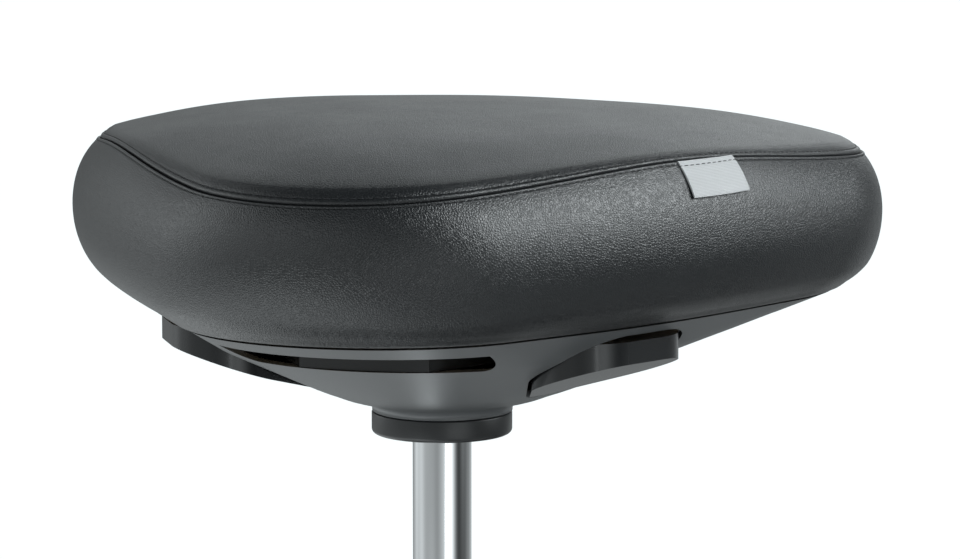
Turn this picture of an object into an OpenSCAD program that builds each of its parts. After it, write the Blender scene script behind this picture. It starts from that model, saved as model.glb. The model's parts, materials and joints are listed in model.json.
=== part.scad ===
// Perch stool: a dished three-cornered saddle on a gas lift, with a weighted round foot.
// Z is the column axis, Z = 0 is the floor, one corner of the seat points along -Y.
// The seat is drawn raised to its top stop.

/* [Seat cushion] */
// Height of the cushion's crown above the floor, raised
seat_height = 808; // [778:1:838]
// Height of the crown above the collar's underside
seat_rise = 155; // [151:1:161]
// Reach of a corner at the widest girth
girth_tip = 214.5; // [210:0.5:220]
// Reach of a flat side at the widest girth
girth_side = 168.5; // [164:0.5:172]
// Height of the widest girth above the collar's underside
girth_z = 104; // [100:0.5:108]
// Reach of a corner at the top seam
seam_tip = 205; // [201:1:208]
// Reach of a flat side at the top seam
seam_side = 154.5; // [150:0.5:158]
// Mean height of the top seam above the collar's underside
seam_z = 136.5; // [133:0.5:139]
// How far the seam dips at a corner and climbs at a flat side
seam_dip = 5; // [0:0.5:7]
// Reach of a corner at the cushion's lower edge
rim_tip = 199; // [196:1:202]
// Reach of a flat side at the cushion's lower edge
rim_side = 147; // [144:1:150]
// Height of the cushion's lower edge at a flat side
rim_z = 67; // [66.5:0.5:68]
// How much higher the lower edge is at a corner
rim_lift = 2; // [1:0.5:3]
// Thickness of the cover material
cover_t = 1.2; // [0.8:0.1:1.6]

/* [Seat board] */
// Reach of a corner of the board
board_tip = 176; // [168:1:180]
// Reach of a flat side of the board
board_side = 124; // [118:1:126]
// Thickness of the board
board_t = 12; // [10:1:14]

/* [Under-shell] */
// Radius of the funnel's neck inside the collar
neck_r = 27; // [26:0.5:28]
// Wall of the funnel
shell_wall = 3; // [2.5:0.1:3.4]
// How far the funnel's rim stays inside the cushion's lower edge
rim_inset = 6.5; // [6:0.5:8]
// Outer radius of the collar
collar_r = 33.5; // [32:0.5:35]
// Height of the collar
collar_h = 10.5; // [9.5:0.5:11]
// Floor of the collar
collar_floor = 1.2; // [1:0.1:1.3]
// Half length of a corner slot
slot_half = 62; // [55:1:63]
// Reach of the funnel's shoulder, where it turns from round to three-cornered, under a corner
shoulder_tip = 120; // [118:0.5:122]
// Reach of the shoulder under a flat side
shoulder_side = 107; // [105.5:0.5:109]
// Height of the shoulder above the collar's underside
shoulder_z = 45; // [44:0.5:45.5]

/* [Release plate] */
// Underside of the plate above the collar's underside
plate_z = 49.6; // [49:0.1:50.5]
// Thickness of the plate
plate_t = 9; // [8:0.5:9.2]
// Radius of the plate's edge at the corners
plate_r = 131; // [128:1:132]
// Reach of the plate along its flat sides, away from the paddles
plate_side = 92; // [88:1:94]
// Radius of the hole in the middle of the plate
plate_hole_r = 49; // [47:1:50]
// Reach of a paddle
paddle_reach = 132; // [130:0.5:133]
// Radius of a paddle's outer corners
paddle_round = 25.5; // [22:0.5:28]
// Half distance between a paddle's outer corner centres
paddle_half = 11.5; // [8:0.5:12.5]
// Reach at which a paddle's root starts
paddle_root = 63; // [62:1:68]
// Radius of a paddle's root
root_round = 12; // [9:1:13]
// Angle at which a paddle's underside climbs
paddle_slope = 19; // [18:0.1:20]
// Gap round a paddle in the funnel
paddle_gap = 1.6; // [1.2:0.1:2.2]
// Lift of the plate, in degrees about the far corner
plate_lift = 0.55; // [0.3:0.05:0.6]

/* [Gas lift] */
// Radius of the chromed cylinder
cyl_r = 14; // [12.5:0.5:15]
// Wall of the chromed cylinder
cyl_wall = 2; // [1.5:0.1:2.5]
// Length of the cylinder's taper
taper_l = 40; // [36:1:44]
// Half angle of the taper
taper_angle = 1.44; // [1:0.02:1.6]
// Travel of the seat
lift_travel = 200; // [150:5:200]
// Radius of the piston rod
rod_r = 5; // [4:0.5:6]
// Radius of the release pin
pin_r = 3.5; // [3:0.5:4]
// Radial running clearance of sliding fits
run_gap = 0.05; // [0.02:0.01:0.1]
// Outer radius of the stand tube
tube_r = 25; // [24:0.5:27]
// Wall of the stand tube
tube_wall = 1.8; // [1.5:0.1:2.5]
// Height of the tube's mouth above the floor
tube_top = 428; // [420:1:432]
// Length of the guide bushing
bushing_l = 72; // [50:1:90]

/* [Foot] */
// Radius of the foot over its bumper
foot_r = 185; // [170:1:200]
// Thickness of the ballast plate
ballast_t = 9; // [7:0.5:12]
// Thickness of the rubber floor pad
pad_t = 4; // [3:0.5:5]
// Thickness of the moulded cover
foot_wall = 2.5; // [2:0.1:3]
// Height at which the cover meets the tube
foot_rise = 58; // [50:1:70]
// Number of ribs under the cover
foot_ribs = 12; // [6:1:16]
// Height of the steel socket that holds the tube
hub_h = 22; // [18:1:23]
// Distance from the axis to the hub bolts
hub_bolt_pcr = 44; // [40:1:48]

/* [Hidden] */

$fn = 72;
seat_gap = 0.3;                     // gap between pieces that rest on each other
cz = seat_height - seat_rise;       // height of the collar's underside
corner_az = -90;                    // direction of the first corner
corner_n = 7;                       // steps round half a corner
flat_n = 5;                         // steps along half a flat side
half_n = corner_n + flat_n;
ring_n = 6 * half_n;

// Colours
c_leather = [0.13, 0.14, 0.145];
c_shell = [0.22, 0.23, 0.235];
c_paddle = [0.12, 0.125, 0.13];
c_steel = [0.55, 0.56, 0.58];
c_chrome = [0.82, 0.83, 0.85];
c_rubber = [0.08, 0.08, 0.085];
c_foam = [0.85, 0.83, 0.72];
c_tag = [0.6, 0.62, 0.63];
c_wood = [0.72, 0.58, 0.4];
c_brass = [0.75, 0.62, 0.3];

// ---- Three-cornered outlines ------------------------------------------------------------
// An outline is [tip, side, bow]: the reach of its corners and of its flat sides, and how much
// of the corner radius is given up to bow the sides. Corner arc and side arc share a tangent.
function corner_round(o) = (1 - o[2]) * (2 * o[1] - o[0]);
function corner_at(o) = o[0] - corner_round(o);
function side_round(o) = let(rc = corner_round(o), t = corner_at(o))
    (t * t + o[1] * o[1] - t * o[1] - rc * rc) / (2 * o[1] - o[0] - rc);
function side_back(o) = side_round(o) - o[1];
function join_angle(o) = atan2(side_back(o) * sin(60), corner_at(o) + side_back(o) * cos(60));
function corner_pt(o, a) = [corner_at(o) + corner_round(o) * cos(a), corner_round(o) * sin(a)];
function side_pt(o, a) = side_round(o) * [cos(a), sin(a)] - side_back(o) * [cos(60), sin(60)];
function half_pt(o, k) = k <= corner_n
    ? corner_pt(o, join_angle(o) * k / corner_n)
    : side_pt(o, join_angle(o) + (60 - join_angle(o)) * (k - corner_n) / flat_n);
function turn(p, a) = [p[0] * cos(a) - p[1] * sin(a), p[0] * sin(a) + p[1] * cos(a)];
function outline(o) = [for (j = [0:2]) for (k = [-half_n : half_n - 1])
    let(p = half_pt(o, abs(k))) turn([p[0], k < 0 ? -p[1] : p[1]], corner_az + 120 * j)];
// 1 at a corner, -1 at the middle of a flat side
function cornerness(p) = cos(3 * (atan2(p[1], p[0]) - corner_az));
// A ring in space: its height is z, plus rise times the cornerness of each point
function ring(o, z, rise = 0) = [for (p = outline(o)) [p[0], p[1], z + rise * cornerness(p)]];
function mix(a, b, t) = a + (b - a) * t;
function mean_pt(r) = [for (c = [0:2]) [for (p = r) p[c]] * [for (p = r) 1] / len(r)];

function band_faces(first, second, n) = [for (i = [0 : n - 1]) let(j = (i + 1) % n)
    each [[first + i, second + i, second + j], [first + i, second + j, first + j]]];

// Closed solid through a stack of rings, with a fan over each end
module loft(rings) {
    n = len(rings[0]);
    m = len(rings);
    polyhedron(
        points = concat([for (r = rings) each r], [mean_pt(rings[0]), mean_pt(rings[m - 1])]),
        faces = concat(
            [for (k = [0 : m - 2]) each band_faces(k * n, (k + 1) * n, n)],
            [for (i = [0 : n - 1]) [m * n, i, (i + 1) % n]],
            [for (i = [0 : n - 1]) [m * n + 1, (m - 1) * n + (i + 1) % n, (m - 1) * n + i]]),
        convexity = 8);
}

// Closed band: the rings run up the outside and down the inside, and the last meets the first
module sleeve(rings) {
    n = len(rings[0]);
    m = len(rings);
    polyhedron(
        points = [for (r = rings) each r],
        faces = [for (k = [0 : m - 1]) each band_faces(k * n, ((k + 1) % m) * n, n)],
        convexity = 8);
}

module flat_plate(o, t) linear_extrude(t) polygon(outline(o));

module at_corners() for (j = [0:2]) rotate(corner_az + 120 * j) children();
module at_flats() for (j = [0:2]) rotate(corner_az + 60 + 120 * j) children();

// ---- Cushion ---------------------------------------------------------------------------
rim_bow = 0.03;
girth_bow = 0.15;
seam_bow = 0.2;
side_steps = 5;
dome_steps = 5;
lower_start = 34;                   // where the lower quarter of the wall starts, degrees
upper_end = 57;                     // where the upper quarter of the wall ends, degrees
rim_mid = rim_z + rim_lift / 2;

function rim_line(s) = [rim_tip - s, rim_side - s, rim_bow];
function girth_line(s) = [girth_tip - s, girth_side - s, girth_bow];
function seam_line(s) = [seam_tip - s, seam_side - s, seam_bow];

// The side wall, s inside the cover's face, from the lower edge to the seam
function wall_lower(s, z0) = [for (k = [0 : side_steps])
    let(a = lower_start + (90 - lower_start) * k / side_steps,
        f = (sin(a) - sin(lower_start)) / (1 - sin(lower_start)),
        g = 1 - cos(a) / cos(lower_start))
    ring(mix(rim_line(s), girth_line(s), f), z0 + mix(rim_mid, girth_z, g),
        mix(rim_lift / 2, 0, g))];
function wall_upper(s, z0) = [for (k = [1 : side_steps])
    let(a = upper_end * k / side_steps,
        f = (1 - cos(a)) / (1 - cos(upper_end)),
        g = sin(a) / sin(upper_end))
    ring(mix(girth_line(s), seam_line(s), f), z0 + mix(girth_z, seam_z, g), -seam_dip * g)];
function wall_rings(s) = concat(wall_lower(s, cz), wall_upper(s, cz));

// The crown, s below the cover's face, from the seam to the middle
crown_power = 1.8;
crown_ease = 0.52;
function crown_rings(s) = [for (k = [0 : dome_steps])
    let(f = sin(90 - 86 * k / dome_steps), h = pow(1 - pow(f, crown_power), crown_ease))
    ring(f * seam_line(s) + (1 - f) * [0, 0, seam_bow],
        cz + cover_t - s + mix(seam_z, seat_rise - cover_t, h),
        -seam_dip * (1 - h) * f)];

function reversed(list) = [for (k = [len(list) - 1 : -1 : 0]) list[k]];

board_pocket = [board_tip + seat_gap, board_side + seat_gap, rim_bow];
board_z = rim_z + 0.5;              // underside of the board, above the collar's underside

foam_gap = 0.6;                     // how far the foam stays inside the cover

// Moulded foam block with a pocket that takes the board
module seat_foam() {
    s = cover_t + foam_gap;
    wall = wall_rings(s);
    color(c_foam) difference() {
        loft(concat([for (k = [0 : len(wall) - 2]) wall[k]], crown_rings(s)));
        translate([0, 0, cz]) flat_plate(board_pocket, board_z + board_t + seat_gap);
    }
}

// Side wall of the cover, a closed band from the lower edge to the seam
module seat_side_cover() color(c_leather)
    sleeve(concat(wall_rings(0), reversed(wall_rings(cover_t))));

// Top panel of the cover
seam_gap = 0.1;
module seat_top_cover() color(c_leather) translate([0, 0, seam_gap])
    loft(concat(reversed(crown_rings(cover_t)), crown_rings(0)));

// Folded textile tag sewn into the seam, lying on the side wall beside a flat side's middle
tag_w = 38;
tag_t = 1;
tag_across = 12.7;                  // how far its middle lies from the flat side's middle
tag_az = -30;
tag_share = [0.95, 0.55];           // its upper and lower edges, as shares of the way up to the seam
tag_steps = 5;
tag_gap = 0.6;
// Reach of a side arc at the distance w from its middle
function side_reach(o, w) = sqrt(pow(side_round(o), 2) - w * w) - side_back(o);
// Point [reach, height] of the upper wall at the share g of the way from the girth to the seam
function wall_at(g, w) = let(f = (1 - cos(asin(g * sin(upper_end)))) / (1 - cos(upper_end)))
    [side_reach(mix(girth_line(0), seam_line(0), f), w), cz + mix(girth_z, seam_z + seam_dip, g)];
module side_tag() {
    line = [for (k = [0 : tag_steps])
        wall_at(mix(tag_share[0], tag_share[1], k / tag_steps), tag_across)];
    reach = line[0][0];
    turned = asin(tag_across / side_round(seam_line(0)));
    color(c_tag) rotate(tag_az) translate([reach, tag_across, 0]) rotate(turned)
        translate([-reach, tag_w / 2, 0]) rotate([90, 0, 0]) linear_extrude(tag_w)
        polygon(concat([for (p = line) p + [tag_gap, 0]],
            reversed([for (p = line) p + [tag_gap + tag_t, 0.5]])));
}

// ---- Board and steelwork ---------------------------------------------------------------
bolt_half = 50;                     // half spacing of the seat bolts
bolt_r = 3;
bolt_hole_r = 3.3;
nut_r = 4.2;
nut_flange_r = 9;
nut_flange_t = 1.5;
screw_at = 96;                      // distance of the shell screws from the axis
screw_r = 2;
screw_head_r = 4;
screw_head_h = 2.5;
board_low = cz + board_z;
board_top = board_low + board_t;

module at_bolts() for (x = [-1, 1]) for (y = [-1, 1])
    translate([x * bolt_half, y * bolt_half, 0]) children();

module seat_board() color(c_wood) difference() {
    translate([0, 0, board_low]) flat_plate([board_tip, board_side, rim_bow], board_t);
    at_bolts() translate([0, 0, board_low - 1]) cylinder(r = nut_r + seat_gap / 2, h = board_t + 2);
    at_bolts() translate([0, 0, board_top - nut_flange_t - seat_gap / 2])
        cylinder(r = nut_flange_r + seat_gap, h = nut_flange_t + 1);
    at_corners() translate([screw_at, 0, board_low - 1]) cylinder(r = screw_r + 0.2, h = board_t + 2);
    at_corners() translate([screw_at, 0, board_top - screw_head_h - seat_gap / 2])
        cylinder(r = screw_head_r + 0.2, h = screw_head_h + 1);
}

module tee_nuts() color(c_steel) at_bolts() difference() {
    union() {
        translate([0, 0, board_low + 1]) cylinder(r = nut_r, h = board_t - 1 - nut_flange_t);
        translate([0, 0, board_top - nut_flange_t]) cylinder(r = nut_flange_r, h = nut_flange_t);
    }
    translate([0, 0, board_low]) cylinder(r = bolt_r + run_gap, h = board_t + 1);
}

// Pressed box that hangs under the board: flange, four walls and a floor over the socket
box_half = 32;
steel_t = 3;
flange_half = 66;
flange_top = board_low - seat_gap;
box_floor = cz + 40;                // underside of the box's floor
rocker_az = -30;                    // direction of the rocker, under a flat side
rocker_w = 12;
rocker_z = 54.2;                    // underside of the rocker's arm
rocker_t = 4.5;
pivot_at = 24;
axle_r = 2.5;
rocker_reach = 60;

module seat_bracket() color(c_steel) difference() {
    union() {
        translate([-flange_half, -flange_half, flange_top - steel_t])
            cube([2 * flange_half, 2 * flange_half, steel_t]);
        rotate(rocker_az) translate([-box_half, -box_half, box_floor])
            cube([2 * box_half, 2 * box_half, flange_top - box_floor - 0.1]);
    }
    rotate(rocker_az) translate([-box_half + steel_t, -box_half + steel_t, box_floor + steel_t])
        cube([2 * (box_half - steel_t), 2 * (box_half - steel_t), flange_top - box_floor]);
    at_bolts() translate([0, 0, flange_top - steel_t - 1]) cylinder(r = bolt_hole_r, h = steel_t + 2);
    translate([0, 0, box_floor - 1]) cylinder(r = cyl_r - 0.5, h = steel_t + 2);
    rotate(rocker_az) translate([box_half - steel_t - 1, -rocker_w / 2 - 1.5, cz + rocker_z - 2.5])
        cube([steel_t + 2, rocker_w + 3, rocker_t + 5]);
    rotate(rocker_az) translate([pivot_at, 0, cz + rocker_z + rocker_t / 2]) rotate([90, 0, 0])
        cylinder(r = axle_r, h = 2 * box_half + 2, center = true);
}

// Hexagon-head bolts up into the T-nuts
module seat_bolts() color(c_steel) at_bolts() {
    translate([0, 0, flange_top - steel_t - 4.2]) cylinder(r = 5.5, h = 4, $fn = 6);
    translate([0, 0, flange_top - steel_t - 0.3]) cylinder(r = bolt_r, h = 0.3 + steel_t + board_t);
}

// ---- Gas lift --------------------------------------------------------------------------
cyl_top = box_floor - 0.6;          // top of the taper
taper_low = cyl_top - taper_l;
taper_drop = taper_l * tan(taper_angle);
foot_top = pad_t + ballast_t;       // top face of the ballast plate
tube_low = foot_top + seat_gap;
floor_t = 4;
floor_z = tube_low + 4;             // underside of the tube's floor
race_t = 2.5;
ball_r = 3;
race_r = 13;
ball_at = 9.5;
race_low = floor_z + floor_t;
ball_z = race_low + race_t + ball_r;
race_high = ball_z + ball_r;
buffer_h = 26;
buffer_low = race_high + race_t + seat_gap;
guide_l = 30;
cyl_low = buffer_low + buffer_h + 1.5 + lift_travel;
guide_low = cyl_low + 3;
bore_r = cyl_r - cyl_wall;
piston_low = guide_low + guide_l + seat_gap;
piston_l = 16;
bore_top = piston_low + piston_l + lift_travel + 12;
valve_l = 60;
pin_low = cyl_top - valve_l + 12;
pin_top = cyl_top + 9;

module gas_cylinder() color(c_chrome) difference() {
    rotate_extrude() polygon([[0, cyl_low], [cyl_r - 1, cyl_low], [cyl_r, cyl_low + 1],
        [cyl_r, taper_low], [cyl_r - taper_drop, cyl_top - 1], [cyl_r - taper_drop - 1, cyl_top],
        [0, cyl_top]]);
    translate([0, 0, cyl_low - 1]) cylinder(r = bore_r, h = bore_top - cyl_low + 1);
    translate([0, 0, cyl_top - valve_l]) cylinder(r = 7, h = valve_l + 1);
}

module rod_guide() color(c_rubber) translate([0, 0, guide_low]) difference() {
    cylinder(r = bore_r - run_gap, h = guide_l);
    translate([0, 0, -1]) cylinder(r = rod_r + run_gap, h = guide_l + 2);
}

module valve_body() color(c_brass) translate([0, 0, cyl_top - valve_l + 0.2]) difference() {
    cylinder(r = 6.9, h = valve_l - 0.2);
    translate([0, 0, 8]) cylinder(r = pin_r + run_gap, h = valve_l);
}

module valve_pin() color(c_steel) rotate_extrude()
    polygon([[0, pin_low], [pin_r, pin_low], [pin_r, pin_top - 1], [pin_r - 1, pin_top], [0, pin_top]]);

rod_clip_z = floor_z - 2;
module piston_rod() color(c_chrome) difference() {
    translate([0, 0, rod_clip_z - 3]) cylinder(r = rod_r, h = piston_low + piston_l - rod_clip_z - 3);
    translate([0, 0, rod_clip_z]) difference() {
        cylinder(r = rod_r + 1, h = 1.3);
        translate([0, 0, -1]) cylinder(r = rod_r - 1, h = 4);
    }
}

module rod_clip() color(c_steel) translate([0, 0, rod_clip_z + 0.1]) difference() {
    cylinder(r = rod_r + 3, h = 1.1);
    translate([0, 0, -1]) cylinder(r = rod_r - 0.9, h = 4);
    translate([0, -1.5, -1]) cube([rod_r + 4, 3, 4]);
}

seal_h = 3;
module piston() color(c_brass) translate([0, 0, piston_low]) difference() {
    cylinder(r = bore_r - run_gap, h = piston_l);
    translate([0, 0, -1]) cylinder(r = rod_r + 0.02, h = piston_l - 5 + 1);
    translate([0, 0, piston_l / 2 - seal_h / 2]) difference() {
        cylinder(r = bore_r + 1, h = seal_h);
        translate([0, 0, -1]) cylinder(r = bore_r - seal_h, h = seal_h + 2);
    }
}

module piston_seal() color(c_rubber) translate([0, 0, piston_low + piston_l / 2]) rotate_extrude()
    translate([bore_r - run_gap - seal_h / 2 + 0.1, 0]) circle(r = seal_h / 2 - 0.1, $fn = 24);

module thrust_ring(z, inner_r) translate([0, 0, z]) difference() {
    cylinder(r = race_r, h = race_t);
    translate([0, 0, -1]) cylinder(r = inner_r, h = race_t + 2);
}
module lower_race() color(c_steel) thrust_ring(race_low, rod_r + 1);
module upper_race() color(c_steel) thrust_ring(race_high, rod_r + 0.02);

ball_n = 8;
module at_balls() for (k = [0 : ball_n - 1]) rotate(360 * k / ball_n)
    translate([ball_at, 0, ball_z]) children();
module bearing_balls() color(c_chrome) at_balls() sphere(r = ball_r - 0.03, $fn = 24);
module ball_cage() color(c_brass) difference() {
    translate([0, 0, ball_z - 1]) difference() {
        cylinder(r = race_r, h = 2);
        translate([0, 0, -1]) cylinder(r = rod_r + 0.6, h = 4);
    }
    at_balls() translate([0, 0, -2]) cylinder(r = ball_r + 0.1, h = 4, $fn = 24);
}

module bump_buffer() color(c_rubber) translate([0, 0, buffer_low]) difference() {
    union() {
        cylinder(r = 12.5, h = buffer_h - 6);
        cylinder(r = 10, h = buffer_h);
    }
    translate([0, 0, -1]) cylinder(r = rod_r + 0.1, h = buffer_h + 2);
}

// ---- Stand -----------------------------------------------------------------------------
trim_h = 10;
trim_lip = 2.5;
bushing_flange = 2;
tube_in = tube_r - tube_wall;

module tube_floor() color(c_steel) translate([0, 0, floor_z]) difference() {
    cylinder(r = tube_in - 0.02, h = floor_t);
    translate([0, 0, -1]) cylinder(r = rod_r + run_gap, h = floor_t + 2);
}

module stand_tube() color(c_shell) translate([0, 0, tube_low]) difference() {
    cylinder(r = tube_r, h = tube_top - tube_low);
    translate([0, 0, -1]) cylinder(r = tube_in, h = tube_top - tube_low + 2);
}

module guide_bushing() color(c_rubber) difference() {
    union() {
        translate([0, 0, tube_top - bushing_l]) cylinder(r = tube_in - 0.02, h = bushing_l);
        translate([0, 0, tube_top]) cylinder(r = tube_r, h = bushing_flange);
    }
    translate([0, 0, tube_top - bushing_l - 1])
        cylinder(r = cyl_r + run_gap, h = bushing_l + bushing_flange + 2);
}

// Ring that trims the tube's mouth, over the bushing's flange
module tube_trim() color(c_shell) rotate_extrude() difference() {
    union() {
        translate([cyl_r + 1.2, tube_top + bushing_flange + 0.1])
            square([tube_r + trim_lip - cyl_r - 3.2, trim_lip]);
        translate([tube_r + 0.02, tube_top - trim_h]) square([trim_lip, trim_h + 3]);
        translate([tube_r + trim_lip - 2, tube_top + bushing_flange + 0.6]) circle(r = 2, $fn = 32);
    }
    translate([0, tube_top - trim_h]) square([tube_r + 0.02, trim_h + bushing_flange + 0.1]);
}

ballast_r = foot_r - 12;
hub_bolt_r = 4;
hub_flange_t = 5;
module at_hub_bolts() for (k = [0:3]) rotate(45 + 90 * k) translate([hub_bolt_pcr, 0, 0]) children();

module floor_pad() color(c_rubber) rotate_extrude()
    polygon([[0, 0], [ballast_r - 14, 0], [ballast_r - 4, 1.2], [ballast_r - 1, pad_t - 0.1],
        [0, pad_t - 0.1]]);

module ballast_plate() color(c_steel) difference() {
    translate([0, 0, pad_t]) cylinder(r = ballast_r, h = ballast_t, $fn = 120);
    translate([0, 0, pad_t - 1]) cylinder(r = rod_r + 8, h = ballast_t + 2);
    at_hub_bolts() translate([0, 0, pad_t - 1]) cylinder(r = hub_bolt_r + 0.3, h = ballast_t + 2);
    at_hub_bolts() translate([0, 0, pad_t - 1]) cylinder(r = hub_bolt_r + 4, h = 5.2);
}

bumper_r = 5;
bumper_low = 2.2;
bumper_top = foot_top + 0.2;
module foot_bumper() color(c_rubber) rotate_extrude($fn = 120)
    polygon(concat([[ballast_r + seat_gap, bumper_low], [ballast_r + bumper_r + 1, bumper_low]],
        [for (a = [-60 : 15 : 90])
            [foot_r - bumper_r + bumper_r * cos(a), bumper_top - bumper_r + bumper_r * sin(a)]],
        [[ballast_r + seat_gap, bumper_top]]));

// Cover: a low dome that sweeps up to the tube in a concave curve
cover_low = foot_top + 2.5;         // top of the cover's upright edge
cover_bulge = 6.5;                  // rise of its convex outer part
sweep_r = foot_rise - cover_low - cover_bulge;
cover_out = foot_r - 2;
function cover_curve(s) = concat(
    [[cover_out - s, foot_top + 0.8], [cover_out - s, cover_low]],
    [for (k = [1:8]) let(a = 11.25 * k)
        [mix(cover_out - s, tube_r + sweep_r + 6, (1 - cos(a)) ), cover_low + (cover_bulge - s) * sin(a)]],
    [for (k = [1:8]) let(a = 11.25 * k)
        [tube_r + 0.4 + (sweep_r + 5.6) * (1 - sin(a)), foot_rise - s - (sweep_r) * cos(a)]]);
module foot_cover() color(c_shell) {
    difference() {
        rotate_extrude($fn = 120) polygon(concat(cover_curve(0), [[tube_r + 0.4, foot_top + 0.4],
            [cover_out - foot_wall, foot_top + 0.4]]));
        rotate_extrude($fn = 120) polygon(concat(cover_curve(foot_wall), [[0, foot_rise - foot_wall],
            [0, 0], [cover_out - foot_wall, 0]]));
        translate([0, 0, foot_rise - 20]) cylinder(r = tube_r + 0.4, h = 40);
    }
    for (k = [0 : foot_ribs - 1]) rotate(360 * k / foot_ribs)
        translate([70, -1, foot_top + 0.4]) cube([cover_out - 82, 2, 4]);
}

module foot_hub() color(c_steel) difference() {
    union() {
        translate([0, 0, foot_top]) cylinder(r = hub_bolt_pcr + 9, h = hub_flange_t);
        translate([0, 0, foot_top]) cylinder(r = tube_r + 4, h = hub_h);
    }
    translate([0, 0, foot_top - 1]) cylinder(r = tube_r + 0.02, h = hub_h + 2);
    at_hub_bolts() translate([0, 0, foot_top - 1]) cylinder(r = hub_bolt_r - 0.5, h = hub_flange_t + 2);
}

module hub_bolts() color(c_steel) at_hub_bolts() {
    translate([0, 0, pad_t + 0.2]) cylinder(r = hub_bolt_r + 3, h = 3.9);
    translate([0, 0, pad_t + 4]) cylinder(r = hub_bolt_r - 0.6, h = ballast_t + hub_flange_t - 2);
}

// ---- Socket, rocker, plate -------------------------------------------------------------
socket_r = 20;
socket_gap = 0.1;
module taper_socket() color(c_steel) rotate_extrude()
    polygon([[cyl_r + socket_gap, taper_low + 2], [socket_r, taper_low + 2],
        [socket_r, box_floor - 0.3 - 2], [socket_r - 1, box_floor - 0.1],
        [cyl_r - taper_drop + socket_gap, box_floor - 0.1],
        [cyl_r - taper_drop + socket_gap, cyl_top], [cyl_r + socket_gap, taper_low + 2.1]]);

module rocker_axle() color(c_steel) rotate(rocker_az)
    translate([pivot_at, 0, cz + rocker_z + rocker_t / 2]) rotate([90, 0, 0])
    cylinder(r = axle_r - 0.02, h = 2 * box_half - 1, center = true);

// Rocker: lifted at its outer nose by the plate, it presses the pin with its inner one
rocker_relief = 1;
nose_l = 3;
nose_gap = 0.2;
module release_rocker() color(c_brass) rotate(rocker_az) difference() {
    union() {
        translate([-6, -rocker_w / 2, cz + rocker_z + rocker_relief])
            cube([rocker_reach + 6, rocker_w, rocker_t - rocker_relief]);
        translate([rocker_reach - nose_l, -rocker_w / 2, cz + rocker_z])
            cube([nose_l, rocker_w, rocker_t]);
        translate([0, 0, pin_top + nose_gap]) cylinder(r = 3, h = cz + rocker_z + 2 - pin_top);
        translate([pivot_at, 0, cz + rocker_z + rocker_t / 2]) rotate([90, 0, 0])
            cylinder(r = 4.5, h = rocker_w, center = true);
    }
    translate([pivot_at, 0, cz + rocker_z + rocker_t / 2]) rotate([90, 0, 0])
        cylinder(r = axle_r + run_gap, h = rocker_w + 2, center = true);
}

// Leaf-shaped plan of a paddle along +X, grown by g
module paddle_plan(g) hull() {
    for (y = [-1, 1]) translate([paddle_reach - paddle_round, y * paddle_half])
        circle(r = paddle_round + g, $fn = 40);
    translate([paddle_root + root_round, 0]) rotate(360 / 64) circle(r = root_round + g, $fn = 32);
}

plate_low = cz + plate_z;
plate_high = plate_low + plate_t;
paddle_end_z = plate_low - 1.35;    // underside of a paddle at its reach
hub_step = 64;                      // reach of the thinner middle of the plate
hub_top = cz + rocker_z - seat_gap;

module plate_plan() difference() {
    intersection() {
        circle(r = plate_r, $fn = 120);
        polygon(outline([plate_r + 12, plate_side, 0.1]));
    }
    circle(r = plate_hole_r);
    at_corners() translate([screw_at, 0]) circle(r = 6.5, $fn = 32);
    at_bolts() circle(r = 9);
}

module release_plate() color(c_paddle) {
    difference() {
        union() {
            translate([0, 0, plate_low]) linear_extrude(plate_t) plate_plan();
            at_flats() intersection() {
                translate([0, 0, cz]) linear_extrude(plate_z + plate_t) paddle_plan(0);
                translate([paddle_reach, 0, paddle_end_z]) rotate([0, -paddle_slope, 0])
                    translate([-100, -50, 0]) cube([140, 100, 60]);
            }
        }
        translate([0, 0, hub_top]) cylinder(r = hub_step, h = 20);
        translate([0, 0, cz]) cylinder(r = plate_hole_r, h = 80);
    }
}

// ---- Funnel ----------------------------------------------------------------------------
shell_bow = 0.03;
funnel_low = collar_h + 0.5;        // height at which the funnel starts
funnel_start = neck_r + 7;
funnel_steps = 3;
slot_low = plate_z - 0.3;
slot_high = rim_z - 6.5;
slot_from = 95;                     // reach at which the corner slots are cut from
slot_depth = 120;
opening_low = 18;                   // heights between which the paddle openings are cut
opening_high = rim_z - 4.7;
rim_top = rim_mid - 0.7;
rim_land = 4;                       // width of the flat land on the funnel's rim
ledge_at = 112;
screw_l = 16;                       // length of the screws below the board
hole_l = 60;

// Near-circular line: its sides are a touch flatter than its corners
function circle_line(r) = [r, r * 0.985, 0.02];
function shoulder_line(s) = [shoulder_tip - s, shoulder_side - s, 0.02];
function rim_of_shell(s) = [rim_tip - rim_inset - s, rim_side - rim_inset - s, shell_bow];
function neck_rings(s, up) = [ring(circle_line(neck_r - s), cz + 1.5),
    ring(circle_line(neck_r - s), cz + funnel_low - 0.2 + up),
    ring(circle_line(funnel_start - 0.6 - s), cz + funnel_low - 0.2 + up)];
// The funnel's face, s inside it and up above it where it starts: a cone to the shoulder, then
// wider and wider outlines to the rim
function funnel_rings(s, up) = concat(
    [ring(circle_line(funnel_start - s), cz + funnel_low + up)],
    [for (k = [0 : funnel_steps]) let(t = k / funnel_steps)
        ring(mix(shoulder_line(s), rim_of_shell(s > 0 ? s + rim_land : 0), t),
            cz + 0.8 * up * (1 - t) + mix(shoulder_z, rim_top, t), rim_lift / 2 * t)]);

// Outline in (across, up) of a corner slot: flat top, lower corners rounded
module slot_shape() {
    d = slot_high - slot_low;
    translate([-(slot_half - d), slot_low]) square([2 * (slot_half - d), d]);
    for (x = [-1, 1]) intersection() {
        translate([x * (slot_half - d), slot_high]) circle(r = d, $fn = 48);
        translate([-slot_half, slot_low]) square([2 * slot_half, d]);
    }
}

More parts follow.
